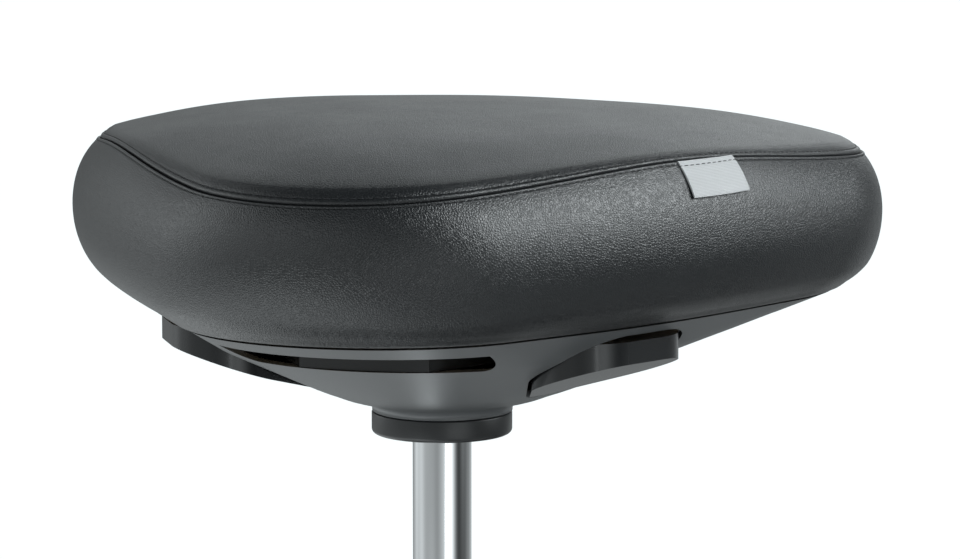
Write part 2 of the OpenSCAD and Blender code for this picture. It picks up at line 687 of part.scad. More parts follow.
// Height of the funnel's outer face straight under a corner, at the reach u
function funnel_z(u) = cz + (u < shoulder_tip
    ? mix(funnel_low, shoulder_z, (u - funnel_start) / (shoulder_tip - funnel_start))
    : mix(shoulder_z, rim_top, (u - shoulder_tip) / (rim_tip - rim_inset - shoulder_tip)));

post_turn = 360 / 64;               // keeps the posts' edges off the funnel's own edges
// Post or pad that stands on the funnel's wall inside a corner, slightly waisted
module shell_post(u, r, top) hull() {
    translate([u, 0, funnel_z(u) + shell_wall * 0.3]) rotate(post_turn) cylinder(r = r, h = 1, $fn = 32);
    translate([u, 0, top - 1]) rotate(post_turn) cylinder(r = r - 0.5, h = 1, $fn = 32);
}

// Low rib on the funnel's inner wall, between the points i of two of its rings
module shell_rib(rings, i) hull() for (p = [mix(rings[0][i], rings[1][i], 0.1), rings[1][i]])
    translate([p[0], p[1], p[2] - 1.2]) cylinder(r = 1, h = 5, $fn = 8);

module under_shell() color(c_shell) {
    inner = shell_wall * 0.5;
    up = shell_wall * 0.95;
    inner_rings = funnel_rings(inner, up);
    difference() {
        union() {
            difference() {
                union() {
                    sleeve(concat(neck_rings(0, 0), funnel_rings(0, 0),
                        reversed(concat(neck_rings(inner, up), inner_rings))));
                    at_corners() shell_post(ledge_at, 5, plate_low - seat_gap);
                    for (j = [0:2]) for (k = [-corner_n, corner_n])
                        shell_rib(inner_rings, j * 2 * half_n + half_n + k);
                }
                at_corners() translate([slot_from, 0, cz]) rotate([90, 0, 90])
                    linear_extrude(slot_depth) slot_shape();
                at_flats() translate([0, 0, cz + opening_low])
                    linear_extrude(opening_high - opening_low) paddle_plan(paddle_gap);
            }
            at_corners() shell_post(screw_at, 5, board_low - seat_gap);
        }
        at_corners() translate([screw_at, 0, board_low - screw_l - 2])
            rotate(post_turn) cylinder(r = screw_r - 0.2, h = hole_l, $fn = 32);
    }
}

module shell_screws() color(c_steel) at_corners() translate([screw_at, 0, 0]) {
    translate([0, 0, board_top - screw_head_h]) cylinder(r = screw_head_r, h = screw_head_h);
    translate([0, 0, board_low - screw_l])
        cylinder(r = screw_r - 0.25, h = screw_l + board_t - screw_head_h);
}

// Collar: cup round the neck, with a rounded lower edge and a hole for the cylinder
collar_round = 2.2;
module shell_collar() color(c_shell) rotate_extrude($fn = 96) polygon(concat(
    [[cyl_r + 1.5, cz], [collar_r - collar_round, cz]],
    [for (a = [-75 : 15 : 0]) [collar_r + collar_round * (cos(a) - 1), cz + collar_round * (1 + sin(a))]],
    [[collar_r, cz + collar_h - 0.6], [collar_r - 0.6, cz + collar_h],
     [neck_r + seat_gap, cz + collar_h], [neck_r + seat_gap, cz + collar_floor],
     [cyl_r + 1.5, cz + collar_floor]]));

floor_pad();
ballast_plate();
foot_bumper();
foot_cover();
foot_hub();
hub_bolts();
stand_tube();
tube_trim();
guide_bushing();
tube_floor();
lower_race();
ball_cage();
bearing_balls();
upper_race();
rod_clip();
bump_buffer();
piston_rod();
piston();
piston_seal();
gas_cylinder();
rod_guide();
valve_body();
valve_pin();
taper_socket();
seat_bracket();
seat_bolts();
tee_nuts();
seat_board();
seat_foam();
seat_side_cover();
seat_top_cover();
side_tag();
under_shell();
shell_collar();
shell_screws();
release_plate();
release_rocker();
rocker_axle();
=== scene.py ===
# %% [markdown]
# # A perch stool
# The stool is a dished, three-cornered saddle on a gas lift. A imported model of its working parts
# is loaded first and stays where it is. This script dresses it: upholstery, moulded plastic,
# chrome and steel. Everything is in metres, and Z = 0 is the floor.

# %% Load the working model
import bpy
import bmesh
import json
import math
import numpy as np
from mathutils import Matrix, Vector
from mathutils.bvhtree import BVHTree


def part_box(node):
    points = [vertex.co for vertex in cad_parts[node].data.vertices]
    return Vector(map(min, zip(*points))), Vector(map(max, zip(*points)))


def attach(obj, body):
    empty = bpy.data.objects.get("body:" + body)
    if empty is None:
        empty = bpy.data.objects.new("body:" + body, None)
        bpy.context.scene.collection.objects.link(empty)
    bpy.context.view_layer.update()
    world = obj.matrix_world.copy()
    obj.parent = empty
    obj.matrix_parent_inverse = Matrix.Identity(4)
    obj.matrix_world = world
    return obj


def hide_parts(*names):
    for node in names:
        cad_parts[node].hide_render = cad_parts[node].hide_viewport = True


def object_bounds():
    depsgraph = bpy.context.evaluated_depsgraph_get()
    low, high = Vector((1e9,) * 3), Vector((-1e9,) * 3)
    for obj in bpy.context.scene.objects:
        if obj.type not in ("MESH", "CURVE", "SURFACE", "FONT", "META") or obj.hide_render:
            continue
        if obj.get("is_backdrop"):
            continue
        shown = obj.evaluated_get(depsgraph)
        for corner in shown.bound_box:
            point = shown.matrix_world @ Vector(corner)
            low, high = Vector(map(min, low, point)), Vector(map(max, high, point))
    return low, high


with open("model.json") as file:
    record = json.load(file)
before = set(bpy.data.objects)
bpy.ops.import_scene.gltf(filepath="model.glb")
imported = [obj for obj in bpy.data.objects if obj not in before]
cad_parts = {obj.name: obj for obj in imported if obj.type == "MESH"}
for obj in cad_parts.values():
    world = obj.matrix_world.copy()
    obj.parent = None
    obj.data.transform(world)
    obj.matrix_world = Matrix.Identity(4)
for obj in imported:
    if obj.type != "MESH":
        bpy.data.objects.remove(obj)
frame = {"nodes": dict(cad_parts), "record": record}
cad_lo, cad_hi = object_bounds()
MM = 0.001
scene = bpy.context.scene
NODES = frame["nodes"]
print("nodes:", len(NODES), "height:", round(cad_hi.z, 3))

# %% [markdown]
# ## Where the seat is
# The saddle's outlines all belong to one family: a triangle with round corners and slightly bowed
# sides. Each is written as its reach at the corners, its reach at the flat sides, and how bowed it
# is, with the working model's own numbers, because a box can't tell them. The heights of the
# collar and of the crown are read from the working model.

# %% Sizes of the saddle, the same as in the working model
COLLAR_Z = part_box("shell_collar")[0].z
CROWN_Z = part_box("seat_top_cover")[1].z
GIRTH = (214.5 * MM, 168.5 * MM, 0.15)
SEAM = (205 * MM, 154.5 * MM, 0.2)
RIM = (199 * MM, 147 * MM, 0.03)
GIRTH_Z = COLLAR_Z + 104 * MM
SEAM_Z = COLLAR_Z + 136.5 * MM
SEAM_DIP = 5 * MM
RIM_Z = COLLAR_Z + 68 * MM
RIM_RISE = 1 * MM
CORNER_AZ = math.radians(-90)
print("crown above the collar (mm):", round((CROWN_Z - COLLAR_Z) / MM, 1))

# %% [markdown]
# ## One function for every outline
# A corner arc and a side arc share a tangent where they meet. Each half sector, from a corner to
# the middle of a side, gets the same number of points on every outline, so rings of different
# size can be joined point by point.

# %% Rounded three-cornered outline
CORNER_SHARE = 0.55


def outline(line, count):
    """Points of the outline (tip, side, bow), anticlockwise from the middle of a flat side."""
    tip, side, bow = line
    corner_r = (1 - bow) * (2 * side - tip)
    centre = tip - corner_r
    side_r = (centre**2 + side**2 - centre * side - corner_r**2) / (2 * side - tip - corner_r)
    back = side_r - side
    join = math.atan2(back * math.sin(math.pi / 3), centre + back * math.cos(math.pi / 3))
    half = count // 6
    points = []
    for k in range(-half, half):
        u = abs(k) / half
        if u <= CORNER_SHARE:
            a = join * u / CORNER_SHARE
            x, y = centre + corner_r * math.cos(a), corner_r * math.sin(a)
        else:
            a = join + (math.pi / 3 - join) * (u - CORNER_SHARE) / (1 - CORNER_SHARE)
            x = side_r * math.cos(a) - back * math.cos(math.pi / 3)
            y = side_r * math.sin(a) - back * math.sin(math.pi / 3)
        points.append((x, y if k >= 0 else -y))
    turned = []
    for j in range(3):
        t = CORNER_AZ + j * 2 * math.pi / 3
        turned += [(x * math.cos(t) - y * math.sin(t), x * math.sin(t) + y * math.cos(t))
                   for x, y in points]
    return np.array(turned)


def ring(line, z, rise, count):
    """The outline in space. Its height swings by rise, up at the corners and down at the sides."""
    xy = outline(line, count)
    swing = np.cos(3 * (np.arctan2(xy[:, 1], xy[:, 0]) - CORNER_AZ))
    return np.column_stack([xy, z + rise * swing])


def mix(a, b, t):
    """Goes from a to b as t goes from 0 to 1, for numbers and for outlines."""
    if isinstance(a, tuple):
        return tuple(mix(p, q, t) for p, q in zip(a, b))
    return a + (b - a) * t


def inset(line, distance):
    """The same outline, the distance further in."""
    return (line[0] - distance, line[1] - distance, line[2])


# %% [markdown]
# ## Turning rings into a mesh
# A stack of rings becomes a skin of four-sided faces. Each end is closed with a fan of triangles
# round one point. The faces are listed anticlockwise as seen from outside, so they point
# outwards.

# %% Mesh helpers
def link(name, mesh):
    """Puts a mesh or a curve in the scene as an object at the origin."""
    obj = bpy.data.objects.new(name, mesh)
    scene.collection.objects.link(obj)
    return obj


def skin(name, rings, closed_ring=False):
    """Mesh through a stack of rings. closed_ring joins the last ring to the first."""
    count, rows = len(rings[0]), len(rings)
    verts = [tuple(p) for r in rings for p in r]
    last = rows if closed_ring else rows - 1
    faces = []
    for k in range(last):
        a, b = k * count, ((k + 1) % rows) * count
        faces += [(a + i, a + (i + 1) % count, b + (i + 1) % count, b + i) for i in range(count)]
    if not closed_ring:
        low, high = len(verts), len(verts) + 1
        verts += [tuple(np.mean(rings[0], axis=0)), tuple(np.mean(rings[-1], axis=0))]
        top = (rows - 1) * count
        faces += [((i + 1) % count, i, low) for i in range(count)]
        faces += [(top + i, top + (i + 1) % count, high) for i in range(count)]
    mesh = bpy.data.meshes.new(name)
    mesh.from_pydata(verts, [], faces)
    mesh.update()
    return link(name, mesh)


# The turn in degrees above which an edge looks sharp: soft goods, tape, plain and rounded pieces.
SOFT_TURN, TAPE_TURN, HARD_TURN, ROUNDED_TURN = 80, 50, 32, 30


def smooth(obj, angle):
    """Smooth shading with sharp edges kept where the surface turns by more than the angle."""
    mesh = obj.data
    mesh.polygons.foreach_set("use_smooth", [True] * len(mesh.polygons))
    work = bmesh.new()
    work.from_mesh(mesh)
    for edge in work.edges:
        edge.smooth = len(edge.link_faces) == 2 and edge.calc_face_angle(0) < math.radians(angle)
    work.to_mesh(mesh)
    work.free()
    return obj


def apply_modifiers(obj):
    """Replaces the object's mesh by what its modifiers make of it, and drops the modifiers."""
    obj_now = obj.evaluated_get(bpy.context.evaluated_depsgraph_get())
    made = bpy.data.meshes.new_from_object(obj_now)
    obj.modifiers.clear()
    obj.data = made


# %% [markdown]
# ## Shader groups
# Some effects belong to more than one material. A node group is built once, with named inputs,
# and each material sets its own values. Copying the nodes into every material would work too, but
# then one change would have to be made many times. These helpers keep the wiring short.

# %% Node group helpers
def new_group(name, inputs, outputs):
    """An empty shader group with its sockets, and its input and output nodes."""
    group = bpy.data.node_groups.new(name, "ShaderNodeTree")
    for label, kind, value in inputs:
        socket = group.interface.new_socket(label, in_out="INPUT", socket_type=kind)
        if value is not None:
            socket.default_value = value
    for label, kind in outputs:
        group.interface.new_socket(label, in_out="OUTPUT", socket_type=kind)
    return group, group.nodes.new("NodeGroupInput"), group.nodes.new("NodeGroupOutput")


def wire(tree, *pairs):
    """Links each pair of an output and an input."""
    for source, target in pairs:
        tree.links.new(source, target)


def add(tree, kind, values=None, **settings):
    """Adds a node with its settings, and with values for inputs that nothing is wired to."""
    node = tree.nodes.new(kind)
    for key, value in settings.items():
        setattr(node, key, value)
    for label, value in (values or {}).items():
        node.inputs[label].default_value = value
    return node


FLOAT, COLOR, VECTOR = "NodeSocketFloat", "NodeSocketColor", "NodeSocketVector"

# %% [markdown]
# ### Pebbled grain
# Coated leather is embossed with small rounded cells that have creases between them. Modelled
# cells would need millions of faces, so the grain is a height for a Bump node. Voronoi cells give
# the creases, a little noise bends them so that they don't look ruled, and a finer noise is the
# tooth.

# %% The grain group
def grain_group():
    """Pebbled grain: cells with creases between them, and a finer tooth on top."""
    group, given, out = new_group(
        "pebble_grain", [("Coordinates", VECTOR, None), ("Cells per metre", FLOAT, 900.0),
                         ("Stretch", FLOAT, 0.35)], [("Height", FLOAT)])
    warp = add(group, "ShaderNodeTexNoise", {"Scale": 160.0, "Detail": 2.0})
    spread = add(group, "ShaderNodeVectorMath", {"Scale": 0.0012}, operation="SCALE")
    moved = add(group, "ShaderNodeVectorMath", operation="ADD")
    cells = add(group, "ShaderNodeTexVoronoi", feature="DISTANCE_TO_EDGE")
    crease = add(group, "ShaderNodeMapRange", {"From Max": 0.28})
    tooth = add(group, "ShaderNodeTexNoise", {"Scale": 2400.0, "Detail": 3.0})
    total = add(group, "ShaderNodeMath", operation="MULTIPLY_ADD")
    wire(group, (given.outputs["Coordinates"], warp.inputs["Vector"]),
         (warp.outputs["Color"], spread.inputs[0]), (spread.outputs[0], moved.inputs[0]),
         (given.outputs["Coordinates"], moved.inputs[1]),
         (moved.outputs[0], cells.inputs["Vector"]),
         (given.outputs["Cells per metre"], cells.inputs["Scale"]),
         (cells.outputs["Distance"], crease.inputs["Value"]),
         (given.outputs["Coordinates"], tooth.inputs["Vector"]),
         (tooth.outputs["Fac"], total.inputs[0]), (given.outputs["Stretch"], total.inputs[1]),
         (crease.outputs["Result"], total.inputs[2]), (total.outputs[0], out.inputs["Height"]))
    return group


GRAIN = grain_group()

# %% [markdown]
# ### Mottling
# No real surface has one even colour and gloss: handling and moulding leave slow changes. A large
# noise moves colour and roughness together here, and a fine one gives the moulded texture.

# %% The mottle group
def mottle_group():
    """Slow change of tone and of gloss over a surface, and a fine moulded texture."""
    group, given, out = new_group(
        "mottle", [("Coordinates", VECTOR, None), ("Size", FLOAT, 14.0), ("Texture", FLOAT, 2600.0),
                   ("Colour", COLOR, (0.1, 0.1, 0.1, 1)), ("Tone swing", FLOAT, 0.12),
                   ("Roughness", FLOAT, 0.5), ("Roughness swing", FLOAT, 0.06)],
        [("Colour", COLOR), ("Roughness", FLOAT), ("Height", FLOAT)])
    slow = add(group, "ShaderNodeTexNoise", {"Detail": 4.0})
    fine = add(group, "ShaderNodeTexNoise", {"Detail": 2.0})
    centred = add(group, "ShaderNodeMath", {1: 0.5}, operation="SUBTRACT")
    tone = add(group, "ShaderNodeMath", {2: 1.0}, operation="MULTIPLY_ADD")
    shade = add(group, "ShaderNodeVectorMath", operation="SCALE")
    gloss = add(group, "ShaderNodeMath", operation="MULTIPLY_ADD")
    wire(group, (given.outputs["Coordinates"], slow.inputs["Vector"]),
         (given.outputs["Size"], slow.inputs["Scale"]),
         (given.outputs["Coordinates"], fine.inputs["Vector"]),
         (given.outputs["Texture"], fine.inputs["Scale"]),
         (slow.outputs["Fac"], centred.inputs[0]), (centred.outputs[0], tone.inputs[0]),
         (given.outputs["Tone swing"], tone.inputs[1]), (given.outputs["Colour"], shade.inputs[0]),
         (tone.outputs[0], shade.inputs["Scale"]), (shade.outputs[0], out.inputs["Colour"]),
         (centred.outputs[0], gloss.inputs[0]),
         (given.outputs["Roughness swing"], gloss.inputs[1]),
         (given.outputs["Roughness"], gloss.inputs[2]), (gloss.outputs[0], out.inputs["Roughness"]),
         (fine.outputs["Fac"], out.inputs["Height"]))
    return group


MOTTLE = mottle_group()

# %% [markdown]
# ### Plain weave
# Woven tape shows ribs both ways. Two waves at right angles are added, which costs far less than
# modelled threads, and the colour is darkened a little in the low places between threads: painted
# shade.

# %% The weave group
def weave_group():
    """Plain weave: ribs both ways, as a height, and as colour with painted shade between threads.
    """
    group, given, out = new_group(
        "plain_weave", [("Coordinates", VECTOR, None), ("Warp", FLOAT, 700.0),
                        ("Weft", FLOAT, 520.0), ("Colour", COLOR, (0.4, 0.4, 0.4, 1)),
                        ("Dark", FLOAT, 0.6)],
        [("Colour", COLOR), ("Height", FLOAT)])
    warp = add(group, "ShaderNodeTexWave", bands_direction="X")
    weft = add(group, "ShaderNodeTexWave", bands_direction="Z")
    over = add(group, "ShaderNodeMath", {1: 0.5}, operation="MULTIPLY_ADD")
    half = add(group, "ShaderNodeMath", {1: 0.5}, operation="MULTIPLY")
    # The colour goes from Dark in the lowest places up to full on the threads: painted shade
    # between threads.
    level = add(group, "ShaderNodeMapRange")
    shade = add(group, "ShaderNodeVectorMath", operation="SCALE")
    wire(group, (given.outputs["Coordinates"], warp.inputs["Vector"]),
         (given.outputs["Coordinates"], weft.inputs["Vector"]),
         (given.outputs["Warp"], warp.inputs["Scale"]),
         (given.outputs["Weft"], weft.inputs["Scale"]),
         (warp.outputs["Fac"], half.inputs[0]), (weft.outputs["Fac"], over.inputs[0]),
         (half.outputs[0], over.inputs[2]), (over.outputs[0], level.inputs["Value"]),
         (given.outputs["Dark"], level.inputs["To Min"]),
         (given.outputs["Colour"], shade.inputs[0]),
         (level.outputs["Result"], shade.inputs["Scale"]), (shade.outputs[0], out.inputs["Colour"]),
         (over.outputs[0], out.inputs["Height"]))
    return group


WEAVE = weave_group()
print("shader groups:", GRAIN.name, MOTTLE.name, WEAVE.name)

# %% [markdown]
# ## Materials
# Every material starts the same way: object coordinates, the mottle group for colour and gloss,
# and a bump for what the surface feels like. What makes each finish its own is the numbers, and
# one or two extra layers where the real finish has them. Values that are the same all over sit on
# the shader itself, because an exported model keeps them only there.

# %% A finish from numbers
COAT_ROUGHNESS = 0.15


def group_node(tree, group, values=None):
    """Places a shader group in a material, with values for its inputs."""
    return add(tree, "ShaderNodeGroup", values, node_tree=group)


def finish(name, colour, roughness, texture=2600.0, bump=0.05, depth=0.1 * MM, swing=0.12,
           gloss_swing=0.08, metallic=0.0, specular=0.5, coat=0.0, size=14.0):
    """Material from numbers: texture and size are in repeats per metre, depth in metres."""
    material = bpy.data.materials.new(name)
    material.use_nodes = True
    tree = material.node_tree
    shader = tree.nodes["Principled BSDF"]
    place = add(tree, "ShaderNodeTexCoord")
    mottle = group_node(tree, MOTTLE, {
        "Size": size, "Texture": texture, "Colour": (*colour, 1), "Tone swing": swing,
        "Roughness": roughness, "Roughness swing": gloss_swing})
    relief = add(tree, "ShaderNodeBump", {"Strength": bump, "Distance": depth})
    for label, value in (("Metallic", metallic), ("Specular IOR Level", specular),
                         ("Coat Weight", coat), ("Coat Roughness", COAT_ROUGHNESS)):
        shader.inputs[label].default_value = value
    wire(tree, (place.outputs["Object"], mottle.inputs["Coordinates"]),
         (mottle.outputs["Colour"], shader.inputs["Base Color"]),
         (mottle.outputs["Roughness"], shader.inputs["Roughness"]),
         (mottle.outputs["Height"], relief.inputs["Height"]),
         (relief.outputs["Normal"], shader.inputs["Normal"]))
    return material


def made_nodes(material):
    tree = material.node_tree
    kinds = ("BSDF_PRINCIPLED", "TEX_COORD", "GROUP", "BUMP")
    return tree, *(next(n for n in tree.nodes if n.type == kind) for kind in kinds)


# %% [markdown]
# ### Leather
# The upholstery is black synthetic leather with a satin coat. Its grain replaces the plain
# moulded texture under the bump. The colour is very dark, so the gloss does most of the work.

# %% Leather
def leather_finish():
    """Black coated leather: pebbled grain over soft mottling."""
    material = finish("black_leather", (0.013, 0.0145, 0.016), 0.31, swing=0.25, gloss_swing=0.12,
                      specular=0.62, size=26.0, bump=0.55, depth=0.16 * MM)
    tree, _, place, _, relief = made_nodes(material)
    grain = group_node(tree, GRAIN)
    wire(tree, (place.outputs["Object"], grain.inputs["Coordinates"]),
         (grain.outputs["Height"], relief.inputs["Height"]))
    return material


# %% [markdown]
# ### Plywood
# The board under the foam is moulded from thin layers. A noise stretched along one direction
# gives the grain of the face. A wave through the thickness gives the dark glue lines of the edge,
# which is simpler than a board made of separate layers and needs no extra faces.

# %% Plywood
PLY_LAYER = 1.5 * MM
BOARD_LOW = COLLAR_Z + 67.5 * MM


def plywood_finish():
    """Birch plywood: long grain one way, and thin dark glue lines along its edge."""
    material = finish("birch_plywood", (0.60, 0.44, 0.27), 0.6, texture=600.0, bump=0.2, swing=0.5,
                      size=140.0)
    tree, shader, place, mottle, _ = made_nodes(material)
    stretch = add(tree, "ShaderNodeMapping", {"Scale": (0.1, 1.5, 1.5)})
    # A wave of scale 1 repeats after pi / 10 metres. Glue lines are where it is lowest, and the
    # phase keeps them off the board's underside.
    layers = add(tree, "ShaderNodeTexWave",
                 {"Scale": 2 * math.pi / (20 * PLY_LAYER),
                  "Phase Offset": math.pi / 2 - 2 * math.pi * BOARD_LOW / PLY_LAYER},
                 bands_direction="Z")
    line = add(tree, "ShaderNodeMapRange", {"From Max": 0.25, "To Min": 0.45})
    shade = add(tree, "ShaderNodeVectorMath", operation="SCALE")
    wire(tree, (place.outputs["Object"], stretch.inputs["Vector"]),
         (stretch.outputs[0], mottle.inputs["Coordinates"]),
         (place.outputs["Object"], layers.inputs["Vector"]),
         (layers.outputs["Fac"], line.inputs["Value"]),
         (mottle.outputs["Colour"], shade.inputs[0]),
         (line.outputs["Result"], shade.inputs["Scale"]),
         (shade.outputs[0], shader.inputs["Base Color"]))
    return material


# %% [markdown]
# ### Tape
# The tag is woven tape. Its weave runs along the tag, which hangs on a side that is turned 60
# degrees, so a Mapping node turns the pattern and the mesh stays where it is.

# %% Tape
def tape_finish():
    """Grey woven tape. The coordinates are turned so that the threads run along the tag."""
    material = finish("grey_tape", (0.68, 0.69, 0.70), 0.78, specular=0.3, bump=0.6,
                      depth=0.15 * MM)
    tree, shader, place, mottle, relief = made_nodes(material)
    turn = add(tree, "ShaderNodeMapping", {"Rotation": (0, 0, math.radians(-60))})
    weave = group_node(tree, WEAVE)
    wire(tree, (place.outputs["Object"], turn.inputs["Vector"]),
         (turn.outputs[0], weave.inputs["Coordinates"]),
         (mottle.outputs["Colour"], weave.inputs["Colour"]),
         (weave.outputs["Colour"], shader.inputs["Base Color"]),
         (weave.outputs["Height"], relief.inputs["Height"]))
    return material


# %% [markdown]
# ## The finishes, one by one
# Plastics differ mostly in gloss, metals in colour and roughness. The numbers below are base
# colour, roughness and texture. Each piece of the working model names a slot, and the table gives
# every slot its finish, so inner pieces that are seldom seen are finished too.

# %% The finishes of this stool
LEATHER = leather_finish()
THREAD = finish("black_thread", (0.022, 0.023, 0.025), 0.55, texture=5200.0, bump=0.4)
SHELL = finish("shell_plastic", (0.092, 0.096, 0.099), 0.38, texture=3800.0, bump=0.16)
COLLAR = finish("collar_plastic", (0.022, 0.023, 0.024), 0.34, texture=3800.0, bump=0.1)
PADDLE = finish("paddle_plastic", (0.018, 0.019, 0.020), 0.18, texture=3800.0, bump=0.06, coat=0.1)
FOOT = finish("foot_plastic", (0.040, 0.042, 0.044), 0.5, texture=3200.0, bump=0.2)
RUBBER = finish("rubber", (0.020, 0.020, 0.021), 0.78, texture=1800.0, bump=0.25)
CHROME = finish("chrome", (0.86, 0.87, 0.88), 0.06, metallic=1.0, bump=0.01, swing=0.03,
                gloss_swing=0.03)
TUBE = finish("black_powder_coat", (0.020, 0.020, 0.022), 0.42, texture=1500.0, bump=0.3)
STEEL = finish("oiled_steel", (0.40, 0.40, 0.41), 0.38, metallic=1.0, bump=0.1, gloss_swing=0.2)
ZINC = finish("zinc_plate", (0.62, 0.63, 0.65), 0.3, metallic=1.0, bump=0.06, gloss_swing=0.2)
BRASS = finish("turned_brass", (0.72, 0.53, 0.26), 0.32, metallic=1.0, bump=0.06)
ALLOY = finish("turned_alloy", (0.74, 0.74, 0.76), 0.33, metallic=1.0, bump=0.06)
ACETAL = finish("acetal", (0.05, 0.05, 0.052), 0.35, bump=0.04)
FOAM = finish("moulded_foam", (0.60, 0.55, 0.42), 0.9, texture=1200.0, bump=0.6, swing=0.2)
PLY = plywood_finish()
TAG = tape_finish()

SLOT_FINISH = {
    "leather": LEATHER, "shell_plastic": SHELL, "paddle_plastic": PADDLE, "foot_plastic": FOOT,
    "tube_paint": TUBE, "bracket_paint": TUBE, "bushing_plastic": ACETAL, "chrome": CHROME,
    "raw_steel": STEEL, "zinc_steel": ZINC, "aluminium": ALLOY, "brass": BRASS, "rubber": RUBBER,
    "foam": FOAM, "plywood": PLY, "tag_fabric": TAG}

SLOT_OF = {row["node"]: row["material_slot"] for row in frame["record"]["subparts"]}
for node_name, node_object in NODES.items():
    for place in node_object.material_slots:
        place.material = SLOT_FINISH[SLOT_OF[node_name]]
    if not node_object.material_slots:
        node_object.data.materials.append(SLOT_FINISH[SLOT_OF[node_name]])
print("finishes:", len(SLOT_FINISH))

# %% [markdown]
# ## Camera
# The camera stands almost two metres away with a long lens, a little above the seat, and looks
# past one of the three flat sides. A long lens keeps the outlines nearly parallel. Its place is
# written from the collar, so it follows the stool if the seat's height changes.

# %% Camera
IMAGE_W = 960  # the image is 960 x 559
CAMERA_AZ = math.radians(15.7)
CAMERA_BACK = 1.773
CAMERA_RISE = 313.3 * MM
AIM_RIGHT = 18.1 * MM
AIM_RISE = 73.1 * MM
FOCAL_PX = 3775
SENSOR = 36.0
toward = Vector((math.sin(CAMERA_AZ), -math.cos(CAMERA_AZ), 0))
right = Vector((math.cos(CAMERA_AZ), math.sin(CAMERA_AZ), 0))
eye = toward * CAMERA_BACK + Vector((0, 0, COLLAR_Z + CAMERA_RISE))
aim = right * AIM_RIGHT + Vector((0, 0, COLLAR_Z + AIM_RISE))
camera_data = bpy.data.cameras.new("camera")
camera_data.sensor_width = SENSOR
camera_data.lens = SENSOR * FOCAL_PX / IMAGE_W
camera_data.clip_start = 0.05
camera = bpy.data.objects.new("camera", camera_data)
camera.location = eye
camera.rotation_euler = (aim - eye).to_track_quat("-Z", "Y").to_euler()
scene.collection.objects.link(camera)
scene.camera = camera
scene.view_settings.view_transform = "Standard"

# %% [markdown]
# ## Light
# A studio lights dark leather with large soft panels, because what the leather mirrors gives it
# its shape. Area lamps could do that. Here every panel is a soft spot painted into the world, so
# there is no lamp object and no hard edge in a reflection. A spot is brightness * exp(tightness *
# (cosine - 1)), where the cosine says how close a direction is to the middle of the spot. Camera
# rays see a plain white backdrop instead. Gloss and chrome see the spots, not the backdrop.

# %% Soft lights in the surround
BACKDROP_LEVEL = 1.08
LIGHT_TINT = (0.93, 0.985, 1.0, 1)
# Each light: degrees to the right of the camera, degrees up, tightness of its edge, brightness.
SOFT_LIGHTS = [
    (90, 20, 34, 9.5), (90, 42, 34, 10.5), (330, 30, 20, 0.93), (0, 30, 20, 0.31),
    (300, 30, 20, 0.45), (285, 30, 34, 0.45), (270, 30, 20, 0.5), (240, 30, 20, 1.34),
    (165, 18, 34, 1.6), (190, 18, 34, 0.5), (240, 8, 20, 1.43), (300, 8, 20, 0.63),
    (270, 8, 20, 0.39), (330, 8, 20, 0.36), (30, 8, 20, 0.52), (30, -12, 20, 1.34),
    (0, -12, 20, 0.38), (270, -12, 20, 0.37), (150, -12, 20, 0.3), (120, -12, 20, 0.2),
    (210, -12, 20, 0.15), (320, -40, 20, 2.9), (280, -40, 20, 1.6), (240, -40, 20, 1.45),
    (200, -40, 20, 0.8), (80, -40, 20, 0.4), (0, -40, 20, 0.22), (0, -75, 20, 1.9),
    (70, -50, 20, 0.45), (158, -24, 20, 0.35), (212, -30, 20, 0.35), (15, -12, 1200, 6.0)]


def heading(right_of_camera, up):
    """Unit direction, as seen from the stool."""
    turn, tilt = CAMERA_AZ + math.radians(right_of_camera), math.radians(up)
    return (math.sin(turn) * math.cos(tilt), -math.cos(turn) * math.cos(tilt), math.sin(tilt))


world = bpy.data.worlds.new("studio")
scene.world = world
world.use_nodes = True
sky = world.node_tree
back = sky.nodes["Background"]
back.inputs["Color"].default_value = LIGHT_TINT
look = add(sky, "ShaderNodeTexCoord")
total = None
for right_of_camera, up, tightness, brightness in SOFT_LIGHTS:
    facing = add(sky, "ShaderNodeVectorMath", {1: heading(right_of_camera, up)},
                 operation="DOT_PRODUCT")
    falling = add(sky, "ShaderNodeMath", {1: tightness, 2: -tightness}, operation="MULTIPLY_ADD")
    glow = add(sky, "ShaderNodeMath", operation="EXPONENT")
    sum_up = add(sky, "ShaderNodeMath", {1: brightness, 2: 0.0}, operation="MULTIPLY_ADD")
    wire(sky, (look.outputs["Generated"], facing.inputs[0]),
         (facing.outputs["Value"], falling.inputs[0]),
         (falling.outputs[0], glow.inputs[0]), (glow.outputs[0], sum_up.inputs[0]))
    if total:
        wire(sky, (total, sum_up.inputs[2]))
    total = sum_up.outputs[0]
seen = add(sky, "ShaderNodeLightPath")
level = add(sky, "ShaderNodeMapRange", {"To Max": BACKDROP_LEVEL})
wire(sky, (seen.outputs["Is Camera Ray"], level.inputs["Value"]), (total, level.inputs["To Min"]),
     (level.outputs["Result"], back.inputs["Strength"]))
print("soft lights:", len(SOFT_LIGHTS))

# %% [markdown]
# ## Floor
# The floor is a pale disc that takes the stool's shadow and fades into the white backdrop, so no
# horizon shows. A large plane would end in a hard line. It is hidden from diffuse and glossy
# rays, so the spots below the horizon light the underside through it, in place of light off the
# floor.

# %% Floor
FLOOR_R, FLOOR_SIDES = 1.7, 96
FADE_FROM, FADE_TO = 0.25, 1.5
floor_mesh = bpy.data.meshes.new("floor")
floor_mesh.from_pydata([(FLOOR_R * math.cos(2 * math.pi * k / FLOOR_SIDES),
                         FLOOR_R * math.sin(2 * math.pi * k / FLOOR_SIDES), 0)
                        for k in range(FLOOR_SIDES)], [], [tuple(range(FLOOR_SIDES))])
floor = link("floor", floor_mesh)


